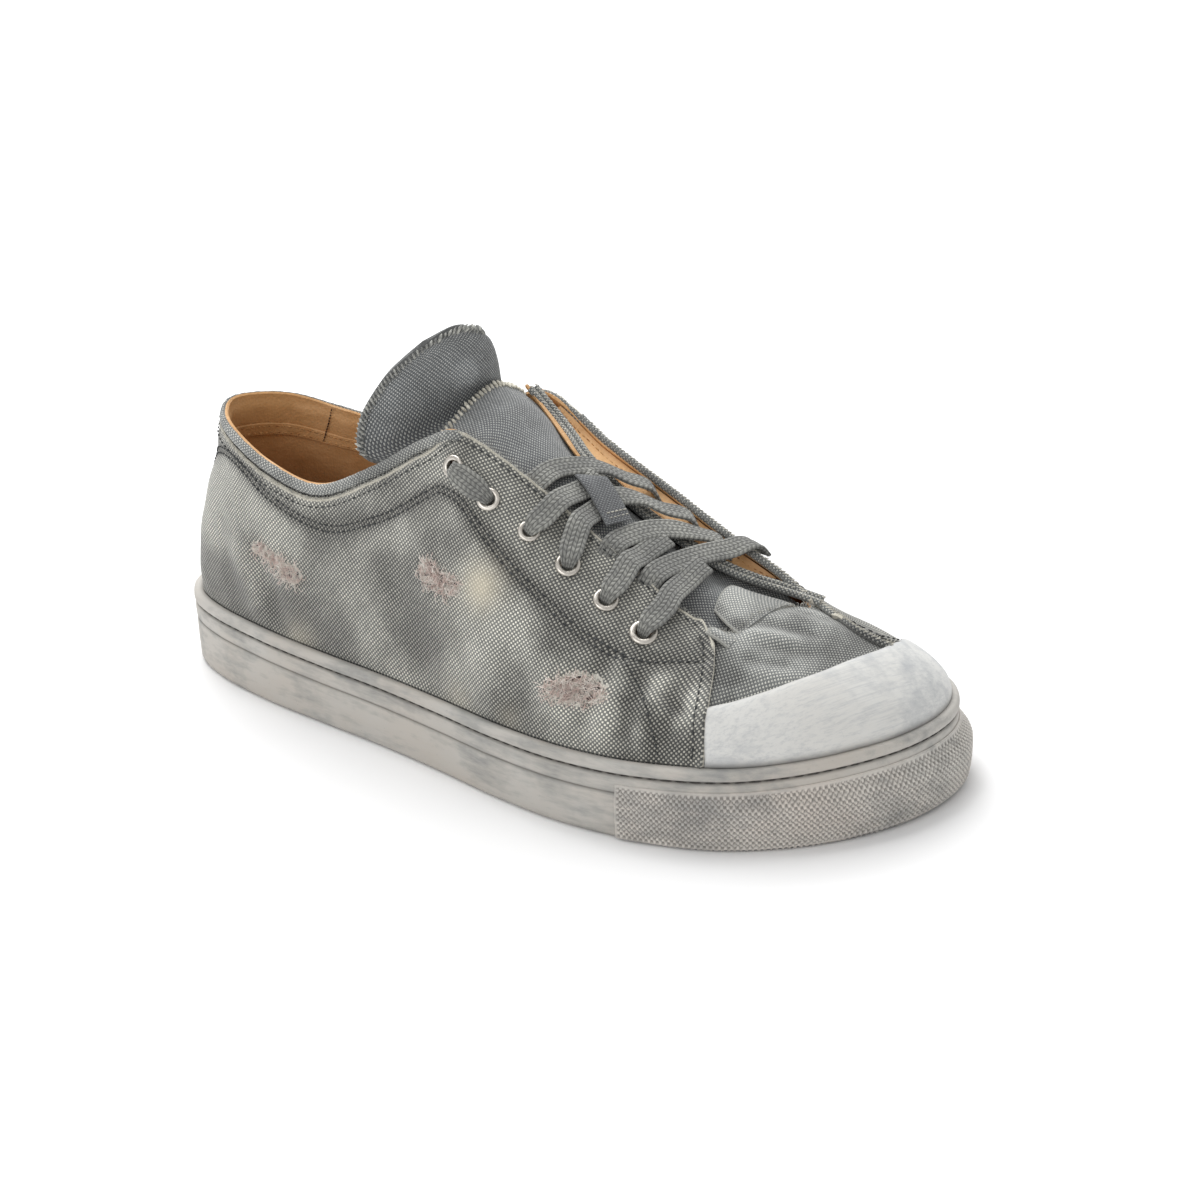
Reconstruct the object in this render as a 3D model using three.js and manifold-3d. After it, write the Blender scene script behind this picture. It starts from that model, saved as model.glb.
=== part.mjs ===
// A worn low canvas sneaker for the right foot, standing empty on its cup sole.
// Millimetres. +X runs to the toe, +Y to the inner (big toe) side, +Z up; the floor is z = 0.
// Upper, toe cap, insole, cup and toe bumper all come from one set of sections round the last.
import * as THREE from "three";
import { mergeVertices } from "three/addons/utils/BufferGeometryUtils.js";
import Module from "manifold-3d";

const wasm = await Module();
wasm.setup();

// ---- driving dimensions (mm) ----
const GAP = 0.3; // between pieces that meet
const WALL = 2.0; // canvas and lining of the upper
const LIP_INSET = 3.8; // from the sole's edge to the outside of the upper
const LIP_HEIGHT = 26.6; // top of the sole's side wall at the ball
const FLOOR = 12.0; // top of the sole inside the cup
const INSOLE_THICK = 3.6;
const TOE_SPRING = 1.8;
const TOE_SPRING_START = 84;
const ARCH_RISE = 1.6; // hollow under the waist
const CAP_THICK = 1.2;
const EYELETS = 6; // on each side of the throat
const EYELET_FIRST_X = -7.5;
const EYELET_PITCH = 14.3;
const EYELET_CORNER_INSET = 12; // down from the throat edge to the rearmost hole
const EYELET_INSETS = [19, 23]; // the same, for the second hole and the foremost
const HOLE_RADIUS = 3.3;
const EYELET_BORE = 2.6;
const EYELET_BARREL = 3.0;
const EYELET_FLANGE = 4.1;
const FLANGE_HEIGHT = 0.9;
const LACE_WIDTH = 8;
const LACE_THICK = 1.5;
const STATIONS = 76; // round the shoe
const HALF = STATIONS / 2;

// Sections round the last, from the heel along the outer side to the toe and back on the inner side.
// Each row: sole edge x, y; opening edge x, y, z; then how the side rises from the sole, bulges
// outwards above it, and how it runs out and down from the opening edge.
const SECTIONS = [
  [-149.8, 0.5, -127.0, 0.0, 100.0, 26, 5.0, 4, 26],
  [-142.3, -17.3, -123.5, -12.0, 98.6, 26, 4.0, 4, 25],
  [-123.0, -28.6, -112.5, -20.8, 95.6, 25, 2.0, 4, 24],
  [-95.0, -36.6, -92.5, -26.6, 88.6, 24, 1.5, 5, 23],
  [-66.0, -41.7, -69.0, -29.2, 84.8, 24, 1.0, 6, 22],
  [-36.0, -46.7, -43.0, -30.2, 96.0, 26, 1.0, 7, 24],
  [-8.0, -52.6, -21.0, -29.6, 109.0, 30, 1.0, 10, 25],
  [20.0, -59.3, -6.0, -28.8, 112.6, 30, 1.0, 14, 24],
  [48.0, -63.2, 18.0, -23.5, 97.0, 26, 1.5, 15, 19],
  [76.0, -61.6, 48.0, -21.5, 76.5, 20, 1.5, 15, 15],
  [102.0, -53.0, 72.0, -21.5, 61.5, 16, 1.0, 16, 9],
  [126.0, -34.0, 85.0, -16.0, 57.0, 13, 0.5, 22, 3],
  [143.0, -8.0, 87.0, -5.0, 58.5, 12, 0.0, 26, 4.5],
  [146.5, 19.0, 91.0, 6.0, 57.5, 11, 0.0, 26, 5],
  [134.0, 39.5, 96.5, 15.5, 55.0, 9, 0.0, 18, 6],
  [108.0, 48.0, 84.0, 21.5, 60.5, 10, 0.0, 12, 9],
  [80.0, 50.0, 65.0, 22.6, 69.5, 16, 0.5, 11, 13],
  [50.0, 48.5, 42.0, 23.8, 81.5, 22, 1.0, 11, 17],
  [20.0, 43.5, 15.0, 25.4, 95.0, 27, 1.0, 11, 21],
  [-8.0, 38.3, -11.5, 28.0, 109.5, 30, 1.0, 9, 26],
  [-38.0, 35.2, -40.0, 32.0, 96.5, 26, 1.0, 5, 24],
  [-70.0, 35.0, -74.0, 31.8, 86.5, 24, 1.5, 4, 22],
  [-102.0, 35.6, -101.0, 29.0, 90.0, 24, 2.0, 4, 22],
  [-132.2, 27.0, -118.5, 18.5, 96.5, 26, 4.0, 4, 24],
];
const ROWS = SECTIONS.length;
const TOE_ROW = 13;

// Rear edge of the toe cap in plan, from the outer side to the inner side.
const CAP_EDGE = [
  [97, -75], [96.5, -57], [93, -50], [100, -38], [109.5, -27], [117, -10],
  [121.5, 8], [124, 20], [122, 32], [114, 43], [108, 60],
];

// ---- small helpers ----
const V = (x, y, z) => new THREE.Vector3(x, y, z);
const lerp = THREE.MathUtils.lerp;
const clamp = THREE.MathUtils.clamp;
const smooth = THREE.MathUtils.smoothstep;

function spline(a, b, c, d, t) {
  const linear = c - a;
  const square = 2 * a - 5 * b + 4 * c - d;
  const cube = 3 * b - a - 3 * c + d;
  return 0.5 * (2 * b + linear * t + square * t * t + cube * t * t * t);
}

// The section at u rows round the shoe.
function section(u) {
  const i = Math.floor(u);
  const t = u - i;
  const row = (k) => SECTIONS[(((i + k) % ROWS) + ROWS) % ROWS];
  return row(0).map((_, c) => spline(row(-1)[c], row(0)[c], row(1)[c], row(2)[c], t));
}

function lipHeight(x) {
  const heel = 1.3 * smooth(-x, 55, 115);
  const toe = 0.6 * smooth(x, 60, 100) + 1.9 * smooth(x, 100, 150);
  return LIP_HEIGHT + heel + toe - 0.4 * smooth(x, -60, 0) * (1 - smooth(x, 20, 80));
}

function toeSpring(x) {
  const t = clamp((x - TOE_SPRING_START) / (150 - TOE_SPRING_START), 0, 1.1);
  return TOE_SPRING * t * t;
}

// A point of the sole's edge at u, with the way out from it in plan.
function soleEdge(u) {
  const [x, y] = section(u);
  const a = section(u - 0.01);
  const b = section(u + 0.01);
  const out = V(b[1] - a[1], a[0] - b[0], 0).normalize();
  return { point: V(x, y, 0), out };
}

// The outside of the upper: w runs from -1 (foot of the wall in the cup) through 0 (at the lip)
// to 1 (the opening edge).
function skin(u, w) {
  const s = section(u);
  const { point, out } = soleEdge(u);
  const lip = point.clone().addScaledVector(out, -LIP_INSET).setZ(lipHeight(s[0]));
  if (w < 0) return lip.clone().setZ(lerp(lip.z, FLOOR + GAP, -w));
  const top = V(s[2], s[3], s[4]);
  const [rise, bulge, reach, drop] = s.slice(5);
  const run = V(lip.x - top.x, lip.y - top.y, 0).normalize();
  const low = lip.clone().addScaledVector(out, bulge);
  low.z += rise;
  const high = top.clone().addScaledVector(run, reach);
  high.z -= drop;
  return new THREE.CubicBezierCurve3(lip, low, high, top).getPoint(w);
}

function skinNormal(u, w) {
  const across = w > 0.99 ? skin(u, w).sub(skin(u, w - 0.01)) : skin(u, w + 0.01).sub(skin(u, w));
  const along = skin(u + 0.02, w).sub(skin(u - 0.02, w));
  return along.cross(across).normalize();
}

// The skin moved out by d along its own normal.
function skinOff(u, w, d) {
  if (w < 0) return skin(u, w).addScaledVector(soleEdge(u).out, d);
  const n = skinNormal(u, w);
  const flat = soleEdge(u).out;
  const blend = smooth(w, 0, 0.12);
  return skin(u, w).addScaledVector(flat.lerp(n, blend).normalize(), d);
}

// ---- building solids ----
class Faces {
  constructor() {
    this.positions = [];
  }
  tri(a, b, c) {
    for (const p of [a, b, c]) this.positions.push(p.x, p.y, p.z);
  }
  quad(a, b, c, d) {
    this.tri(a, b, c);
    this.tri(a, c, d);
  }
  // One closed geometry with its faces turned outwards.
  solid() {
    const raw = new THREE.BufferGeometry();
    raw.setAttribute("position", new THREE.Float32BufferAttribute(this.positions, 3));
    const merged = mergeVertices(raw, 1e-3);
    const index = merged.index.array;
    const kept = [];
    for (let i = 0; i < index.length; i += 3) {
      const [a, b, c] = [index[i], index[i + 1], index[i + 2]];
      if (a !== b && b !== c && a !== c) kept.push(a, b, c);
    }
    merged.setIndex(kept);
    if (volume(merged) < 0) {
      for (let i = 0; i < kept.length; i += 3) [kept[i], kept[i + 1]] = [kept[i + 1], kept[i]];
      merged.setIndex(kept);
    }
    return merged;
  }
}

function volume(geometry) {
  const p = geometry.attributes.position;
  const index = geometry.index.array;
  const [a, b, c] = [V(), V(), V()];
  let sum = 0;
  for (let i = 0; i < index.length; i += 3) {
    a.fromBufferAttribute(p, index[i]);
    b.fromBufferAttribute(p, index[i + 1]);
    c.fromBufferAttribute(p, index[i + 2]);
    sum += a.dot(b.cross(c)) / 6;
  }
  return sum;
}

// Loops of points joined one to the next; a run that isn't closed gets flat ends across its thickness.
function loft(loops, closed) {
  const faces = new Faces();
  const m = loops[0].length;
  const n = loops.length;
  for (let i = 0; i < (closed ? n : n - 1); i++) {
    const a = loops[i];
    const b = loops[(i + 1) % n];
    for (let j = 0; j < m; j++) faces.quad(a[j], b[j], b[(j + 1) % m], a[(j + 1) % m]);
  }
  if (!closed) {
    for (let j = 0; j < m / 2 - 1; j++) {
      const k = m - 1 - j;
      const [first, last] = [loops[0], loops[n - 1]];
      faces.quad(first[j], first[j + 1], first[k - 1], first[k]);
      faces.quad(last[j], last[k], last[k - 1], last[j + 1]);
    }
  }
  return faces.solid();
}

function manifoldOf(geometry) {
  const g = mergeVertices(stripped(geometry), 1e-4);
  return new wasm.Manifold(
    new wasm.Mesh({
      numProp: 3,
      vertProperties: new Float32Array(g.attributes.position.array),
      triVerts: new Uint32Array(g.index.array),
    }),
  );
}

function stripped(geometry) {
  const g = geometry.clone();
  g.deleteAttribute("normal");
  g.deleteAttribute("uv");
  return g;
}

function geometryOf(manifold) {
  const mesh = manifold.getMesh();
  const g = new THREE.BufferGeometry();
  g.setAttribute("position", new THREE.BufferAttribute(new Float32Array(mesh.vertProperties), 3));
  g.setIndex(new THREE.BufferAttribute(new Uint32Array(mesh.triVerts), 1));
  return g;
}

// The largest connected body of a result, without slivers.
function mainBody(manifold) {
  return manifold.decompose().sort((a, b) => b.volume() - a.volume())[0];
}

// ---- materials ----
const finish = (color, roughness, metalness = 0) =>
  new THREE.MeshStandardMaterial({ color, roughness, metalness, side: THREE.DoubleSide });
const MATERIALS = {
  canvas: () => finish(0x6f706e, 0.95),
  lining: () => finish(0xb5824e, 0.7),
  sole: () => finish(0xc0bbb2, 0.8),
  cap: () => finish(0xcfcfcc, 0.6),
  lace: () => finish(0x8b8b87, 0.9),
  metal: () => finish(0xc8c3bd, 0.35, 1),
};

const shoe = new THREE.Group();
shoe.name = "worn_canvas_sneaker";

function add(name, geometry, material) {
  const shown = geometry.index ? geometry.toNonIndexed() : geometry;
  shown.computeVertexNormals();
  const mesh = new THREE.Mesh(shown, material);
  mesh.name = name;
  shoe.add(mesh);
  return mesh;
}

// ---- cup sole ----
// Wall profile: out from the sole's edge, and height (from the floor, or down from the lip).
function soleProfile(u) {
  const { point, out } = soleEdge(u);
  const lip = lipHeight(point.x);
  const base = toeSpring(point.x);
  const at = (d, z) => point.clone().addScaledVector(out, d).setZ(z);
  return [
    at(-2.2, base),
    at(-0.9, base + 0.5),
    at(-0.1, base + 2.0),
    at(0.0, lip - 11.2),
    at(-0.5, lip - 10.6),
    at(-0.1, lip - 9.8),
    at(0.0, lip - 5.0),
    at(-0.9, lip - 4.2),
    at(0.1, lip - 3.4),
    at(0.2, lip - 1.6),
    at(-0.5, lip - 0.3),
    at(-1.4, lip),
    at(-LIP_INSET + GAP, lip),
    at(-LIP_INSET + GAP, FLOOR),
  ];
}

// u of the i-th station on each side, from heel (0) to toe (HALF).
const outerStation = (i) => (TOE_ROW * i) / HALF;
const innerStation = (i) => ROWS - ((ROWS - TOE_ROW) * i) / HALF;
const stationU = (k) => (k <= HALF ? outerStation(k) : innerStation(STATIONS - k));

// A face spanning a closed loop given as a function of u, with columns across it.
function spanLoop(faces, edgeAt, columns, height) {
  const cell = (i, t) => {
    const a = edgeAt(outerStation(i));
    const b = edgeAt(innerStation(i));
    if (t === 0 || a.distanceTo(b) < 1e-6) return a;
    if (t === 1) return b;
    const p = a.clone().lerp(b, t);
    return height ? p.setZ(height(p, t, a)) : p;
  };
  for (let i = 0; i < HALF; i++) {
    for (let j = 0; j < columns.length - 1; j++) {
      const [s, t] = [columns[j], columns[j + 1]];
      faces.quad(cell(i, s), cell(i + 1, s), cell(i + 1, t), cell(i, t));
    }
  }
}

function outsole() {
  const faces = new Faces();
  const profiles = [];
  for (let k = 0; k < STATIONS; k++) profiles.push(soleProfile(stationU(k)));
  const m = profiles[0].length;
  for (let k = 0; k < STATIONS; k++) {
    const a = profiles[k];
    const b = profiles[(k + 1) % STATIONS];
    for (let j = 0; j < m - 1; j++) faces.quad(a[j], a[j + 1], b[j + 1], b[j]);
  }
  const underside = (p) => {
    const waist = smooth(p.x, -52, -30) * (1 - smooth(p.x, 12, 34));
    return toeSpring(p.x) + ARCH_RISE * waist;
  };
  const bottomEdge = (u) => soleProfile(stationNear(u))[0];
  const cupEdge = (u) => soleProfile(stationNear(u))[m - 1];
  spanLoop(faces, bottomEdge, [0, 0.12, 0.3, 0.5, 0.7, 0.88, 1], underside);
  const cup = new Faces();
  spanLoop(cup, cupEdge, [0, 0.5, 1]);
  for (let i = 0; i < cup.positions.length; i += 9) {
    const [a, b, c] = [0, 3, 6].map((k) => V(...cup.positions.slice(i + k, i + k + 3)));
    faces.tri(a, c, b);
  }
  return faces.solid();
}

// The same number for the same station however it was reached.
function stationNear(u) {
  return u >= ROWS ? u - ROWS : u;
}

// ---- upper ----
const SKIN_STEPS = [-1, 0, 0.12, 0.26, 0.42, 0.58, 0.74, 0.88, 1];

function upperShell() {
  const loops = [];
  for (let k = 0; k < STATIONS; k++) {
    const u = stationU(k);
    const outside = SKIN_STEPS.map((w) => skinOff(u, w, 0));
    const inside = SKIN_STEPS.map((w) => skinOff(u, w, -WALL));
    const rimUp = skin(u, 1).sub(skin(u, 0.97)).normalize();
    const rim = [0.25, 0.75].map((t) =>
      skinOff(u, 1, -WALL * t).addScaledVector(rimUp, WALL * 0.38),
    );
    loops.push([...outside, ...rim, ...inside.reverse()]);
  }
  return loft(loops, true);
}

// Eyelet places: evenly spaced along each side of the throat, a little further from the edge
// towards the toe.
function eyeletPlace(k, inner) {
  const x = EYELET_FIRST_X + EYELET_PITCH * k;
  const inset = k === 0 ? EYELET_CORNER_INSET : lerp(...EYELET_INSETS, (k - 1) / (EYELETS - 2));
  const wAt = (u) => {
    let w = 1;
    let run = 0;
    let last = skin(u, 1);
    while (run < inset && w > 0.3) {
      w -= 0.005;
      const next = skin(u, w);
      run += next.distanceTo(last);
      last = next;
    }
    return w;
  };
  let [low, high] = inner ? [19.6, 14.5] : [6.6, 11.5];
  for (let i = 0; i < 30; i++) {
    const mid = (low + high) / 2;
    if (skin(mid, wAt(mid)).x < x) low = mid;
    else high = mid;
  }
  const u = (low + high) / 2;
  const w = wAt(u);
  return { at: skinOff(u, w, 0), normal: skinNormal(u, w), u, w };
}

const EYELET_PLACES = [false, true].flatMap((inner) =>
  Array.from({ length: EYELETS }, (_, k) => ({ ...eyeletPlace(k, inner), k, inner })),
);

function upright(geometry, place) {
  const turn = new THREE.Quaternion().setFromUnitVectors(V(0, 1, 0), place.normal);
  return geometry.applyQuaternion(turn).translate(place.at.x, place.at.y, place.at.z);
}

function upper() {
  let body = manifoldOf(upperShell());
  for (const place of EYELET_PLACES) {
    const punch = new THREE.CylinderGeometry(HOLE_RADIUS, HOLE_RADIUS, 9, 10);
    body = body.subtract(manifoldOf(upright(punch, place)));
  }
  return geometryOf(mainBody(body));
}

add("outsole", outsole(), MATERIALS.sole());
add("upper", upper(), MATERIALS.canvas());

// ---- toe cap ----
const CAP_FROM = 9.4; // in rows of SECTIONS
const CAP_TO = 16.01;
const CAP_STEP = 0.3;
const AHEAD = 180; // x beyond the toe

function toeCap() {
  const steps = [0.02, 0.1, 0.22, 0.36, 0.5, 0.66, 0.82, 0.96];
  const loops = [];
  for (let u = CAP_FROM; u <= CAP_TO; u += CAP_STEP) {
    const low = steps.map((w) => skinOff(u, w, GAP));
    const high = steps.map((w) => skinOff(u, w, GAP + CAP_THICK));
    loops.push([...low, ...high.reverse()]);
  }
  const shell = manifoldOf(loft(loops, false));
  const points = CAP_EDGE.map(([x, y]) => V(x, y, 0));
  const edge = new THREE.CatmullRomCurve3(points, false, "centripetal");
  const outline = edge.getPoints(40).map((p) => new THREE.Vector2(p.x, p.y));
  outline.push(new THREE.Vector2(AHEAD, 60), new THREE.Vector2(AHEAD, -75));
  const options = { depth: 90, bevelEnabled: false };
  const front = new THREE.ExtrudeGeometry(new THREE.Shape(outline), options);
  return geometryOf(mainBody(shell.intersect(manifoldOf(front))));
}
add("toe_cap", toeCap(), MATERIALS.cap());

// ---- textured toe bumper ----
const BUMPER_FROM = 8.72; // in rows of SECTIONS
const BUMPER_TO = 16.45;
const BUMPER_STEPS = 32;
const BUMPER_GAP = 0.35; // clear of the sole's side wall
const BUMPER_FOOT = 0.6; // clear of the sole's bottom edge
const BUMPER_TOP = 7.6; // below the lip
const BUMPER_THICK = [0.8, 4.0]; // at its ends and at the toe

function toeBumper() {
  const loops = [];
  for (let i = 0; i <= BUMPER_STEPS; i++) {
    const u = lerp(BUMPER_FROM, BUMPER_TO, i / BUMPER_STEPS);
    const { point, out } = soleEdge(u);
    const base = toeSpring(point.x) + BUMPER_FOOT;
    const top = lipHeight(point.x) - BUMPER_TOP;
    const thick = lerp(...BUMPER_THICK, smooth(point.x, 74, 142));
    const at = (d, z) => point.clone().addScaledVector(out, BUMPER_GAP + d).setZ(z);
    loops.push([
      at(0, base + 0.8),
      at(0, (base + top) / 2),
      at(0, top),
      at(thick * 0.6, top),
      at(thick, top - 1),
      at(thick + 0.4, (base + top) / 2),
      at(thick, base + 1.8),
      at(thick * 0.5, base + 0.8),
    ]);
  }
  return loft(loops, false);
}
add("toe_bumper", toeBumper(), MATERIALS.sole());

// ---- insole ----
const INSOLE_RIM = 1.2; // its edge stands above its middle
const INSOLE_ARCH = 3;

function insole() {
  const faces = new Faces();
  const inset = LIP_INSET + WALL + 0.5;
  const edgeAt = (z) => (u) => {
    const { point, out } = soleEdge(u);
    return point.clone().addScaledVector(out, -inset).setZ(z);
  };
  const under = FLOOR + GAP;
  const over = under + INSOLE_THICK;
  const rim = over + INSOLE_RIM;
  const dish = (p, t) => {
    const side = Math.pow(Math.abs(2 * t - 1), 3);
    const waist = smooth(p.x, -75, -20) * (1 - smooth(p.x, 10, 60));
    return over + INSOLE_RIM * side + INSOLE_ARCH * waist * smooth(t, 0.55, 1);
  };
  for (let k = 0; k < STATIONS; k++) {
    const a = stationU(k);
    const b = stationU((k + 1) % STATIONS);
    faces.quad(edgeAt(under)(a), edgeAt(rim)(a), edgeAt(rim)(b), edgeAt(under)(b));
  }
  spanLoop(faces, (u) => edgeAt(under)(stationNear(u)), [0, 1]);
  const top = new Faces();
  spanLoop(top, (u) => edgeAt(rim)(stationNear(u)), [0, 0.15, 0.35, 0.5, 0.65, 0.85, 1], dish);
  for (let i = 0; i < top.positions.length; i += 9) {
    const [a, b, c] = [0, 3, 6].map((k) => V(...top.positions.slice(i + k, i + k + 3)));
    faces.tri(a, c, b);
  }
  return faces.solid();
}
add("insole", insole(), MATERIALS.lining());

// ---- tongue ----
// The point s steps along a smooth line through a list of points.
function mix(list, s) {
  const i = Math.min(Math.floor(s), list.length - 2);
  const t = s - i;
  const [a, b, c, d] = [-1, 0, 1, 2].map((k) => list[clamp(i + k, 0, list.length - 1)]);
  return V(
    spline(a.x, b.x, c.x, d.x, t),
    spline(a.y, b.y, c.y, d.y, t),
    spline(a.z, b.z, c.z, d.z, t),
  );
}

// A surface through a grid of points, rows along it and columns across.
function surfaceThrough(grid) {
  const rows = grid.length - 1;
  const columns = grid[0].length - 1;
  const at = (s, t) => mix(grid.map((row) => mix(row, t * columns)), s * rows);
  const normal = (s, t) => {
    const [s0, s1] = [Math.max(s - 0.01, 0), Math.min(s + 0.01, 1)];
    const [t0, t1] = [Math.max(t - 0.01, 0), Math.min(t + 0.01, 1)];
    const along = at(s1, t).sub(at(s0, t));
    const across = at(s, t1).sub(at(s, t0));
    return along.cross(across).normalize();
  };
  return { at, normal, off: (s, t, d) => at(s, t).addScaledVector(normal(s, t), d) };
}

// A sheet between two depths under a surface, with rounded long edges.
function sheet(surface, top, bottom, rows, columns) {
  const loops = [];
  const middle = (top + bottom) / 2;
  const half = (top - bottom) / 2;
  for (let i = 0; i <= rows; i++) {
    const s = i / rows;
    const over = [];
    const under = [];
    for (let j = 0; j <= columns; j++) {
      over.push(surface.off(s, j / columns, top));
      under.push(surface.off(s, j / columns, bottom));
    }
    const edge = (t, inner) => {
      const way = surface.at(s, t).sub(surface.at(s, inner)).normalize();
      return surface.off(s, t, middle).addScaledVector(way, half * 0.8);
    };
    loops.push([edge(0, 0.05), ...over, edge(1, 0.95), ...under.reverse()]);
  }
  return loftFan(loops);
}

// Joins loops whose first and middle points are the two edges; the ends close across the thickness.
function loftFan(loops) {
  const faces = new Faces();
  const m = loops[0].length;
  const n = loops.length;
  for (let i = 0; i < n - 1; i++) {
    const [a, b] = [loops[i], loops[i + 1]];
    for (let j = 0; j < m; j++) faces.quad(a[j], b[j], b[(j + 1) % m], a[(j + 1) % m]);
  }
  const [first, last] = [loops[0], loops[n - 1]];
  const turns = m / 2;
  for (let j = 0; j < turns; j++) {
    const k = (m - j) % m;
    const l = m - j - 1;
    faces.quad(first[j], first[j + 1], first[l], first[k]);
    faces.quad(last[j], last[k], last[l], last[j + 1]);
  }
  return faces.solid();
}

// The bed under the laces. Each row: where it meets the outer and the inner side of the throat, then
// three points across the middle: the crown, its fall, and the hollow on the inner side.
const BED_STATIONS = [
  [7.08, 18.75, [-4, -10, 113], [-4, 6, 112.3], [-4, 16, 104.5]],
  [7.55, 18.3, [7, -10, 104], [7, 2, 102.8], [7, 12.5, 95.5]],
  [8.0, 17.85, [18, -9, 96.5], [18, -1, 95.6], [18, 10, 88.5]],
  [8.5, 17.35, [33, -9, 86.5], [33, -1, 86], [33, 9.5, 80]],
  [9.0, 16.8, [48, -9, 77], [48, -2, 76.6], [48, 8.5, 71.5]],
  [9.5, 16.25, [60, -9, 69.5], [60, -2, 69.2], [60, 8.5, 64.8]],
  [10.0, 15.75, [72, -8, 62.3], [72, -1, 61.8], [72, 9, 58.4]],
  [10.5, 15.3, [79, -7, 57.2], [79, 0, 56.8], [79, 10, 54.6]],
  [11.0, 15.0, [85, -6, 53.6], [85, 2, 53.2], [85, 11, 51.6]],
  [11.5, 14.6, [92, -4, 51], [92, 4, 50.6], [92, 12, 49.6]],
];
const BED_OUTER_DEPTH = WALL + 1.5;
const BED_INNER_DEPTH = WALL + 3.8;
const BED_TOP = [
  V(-18, -26, 107.5), V(-18, -22, 110), V(-18, -8, 115), V(-18, 6, 117), V(-18, 15, 114.5),
  V(-18, 21, 111), V(-18, 24, 108),
];
const bedRows = [
  BED_TOP,
  ...BED_STATIONS.map(([outer, inner, ...middle]) => [
    skinOff(outer, 0.78, -BED_OUTER_DEPTH),
    skinOff(outer, 0.95, -BED_OUTER_DEPTH),
    ...middle.map((p) => V(...p)),
    skinOff(inner, 0.93, -BED_INNER_DEPTH),
    skinOff(inner, 0.8, -BED_INNER_DEPTH),
  ]),
];
const bed = surfaceThrough(bedRows);
const FLAP_THICK = 1.6;
add("tongue_flap", sheet(bed, -0.05, -FLAP_THICK, 18, 10), MATERIALS.canvas());

// The tall layer behind it stands up out of the throat, leans to the outer side, and runs down
// under the flap.
const TONGUE_UNDER = FLAP_THICK + 1.2;
const TONGUE_THICK = 2.2;
const TONGUE_ROWS = [
  [V(-24.7, -21, 137.2), V(-20.8, -17, 140), V(-18, -12.5, 141.6), V(-16.6, -8, 141),
    V(-16.7, -2, 138.6), V(-20, 4, 136)],
  [V(-31.2, -24, 131.8), V(-23.5, -16, 135), V(-18.5, -8, 136.4), V(-16.6, -1, 135.4),
    V(-18, 6, 133), V(-24, 12, 130)],
  [V(-41, -26, 122.2), V(-30.5, -18, 125.3), V(-22.5, -8, 127), V(-18.7, 2, 127),
    V(-19.3, 11, 125), V(-26, 18, 121)],
  [V(-50, -27, 107.5), V(-36.5, -20, 111), V(-26, -8, 114.5), V(-21.6, 5, 115.5),
    V(-22, 16, 113.5), V(-28, 24, 108)],
  [V(-47, -26, 96), V(-34, -20, 101.5), V(-24.5, -6, 108), V(-21, 6, 109),
    V(-22, 17, 106), V(-26, 24, 99)],
];
const TONGUE_COLUMNS = [0.05, 1 / 6, 2 / 6, 3 / 6, 4 / 6, 5 / 6, 0.95];
const tongueRows = [
  ...TONGUE_ROWS.map((row) => TONGUE_COLUMNS.map((_, k) => mix(row, (k * 5) / 6))),
  ...[0.55, 1.05, 1.5, 2, 3, 4, 5, 6, 7, 8, 9, 9.6].map((i) =>
    TONGUE_COLUMNS.map((t) => {
      const edgeDrop = 2.2 * Math.pow(Math.abs(2 * t - 1), 4);
      return bed.off(i / (bedRows.length - 1), t, -TONGUE_UNDER - edgeDrop);
    }),
  ),
];
const tongueSurface = surfaceThrough(tongueRows);
add("tongue", sheet(tongueSurface, 0, -TONGUE_THICK, 32, 8), MATERIALS.canvas());

// ---- facing strip, hanging in from the inner side of the throat ----
const FACING_ROWS = [
  [[-15, 22, 113], [-11, 25, 109]],
  [[-4, 18, 105.5], [0, 23.4, 101]],
  [[5, 13.5, 100.3], [9, 22, 95.5]],
  [[13, 10, 95.5], [17, 21, 91]],
  [[25, 8, 88.5], [28, 20, 85]],
  [[38, 7, 81], [40, 19.5, 78.5]],
  [[52, 8, 73], [52, 19, 72]],
  [[62, 9, 67.6], [62, 19, 67]],
  [[70, 12.5, 63], [71, 19.3, 62.5]],
  [[77, 16.5, 59.5], [79, 20, 58.8]],
];
const FACING_THICK = 1.4;
const facing = surfaceThrough(
  FACING_ROWS.map(([a, b]) => {
    const middle = V(...a).lerp(V(...b), 0.5);
    middle.z -= 0.6;
    return [V(...a), middle, V(...b)];
  }),
);
add("throat_facing", sheet(facing, 0, -FACING_THICK, 16, 4), MATERIALS.lining());

// ---- eyelets ----
function eyelet(place) {
  const foot = -WALL - 0.2;
  const seat = GAP + 0.1;
  const top = GAP + FLANGE_HEIGHT;
  const profile = [
    [EYELET_BORE, foot], [EYELET_BARREL, foot], [EYELET_BARREL, seat], [EYELET_FLANGE, seat],
    [EYELET_FLANGE - 0.5, top], [EYELET_BORE, top - 0.2], [EYELET_BORE, foot],
  ];
  const ring = new THREE.LatheGeometry(profile.map(([r, y]) => new THREE.Vector2(r, y)), 8);
  const faces = new Faces();
  const g = upright(stripped(ring), place).toNonIndexed();
  faces.positions = [...g.attributes.position.array];
  return faces.solid();
}
for (const place of EYELET_PLACES) {
  const side = place.inner ? "inner" : "outer";
  add("eyelet_" + side + "_" + (place.k + 1), eyelet(place), MATERIALS.metal());
}

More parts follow.
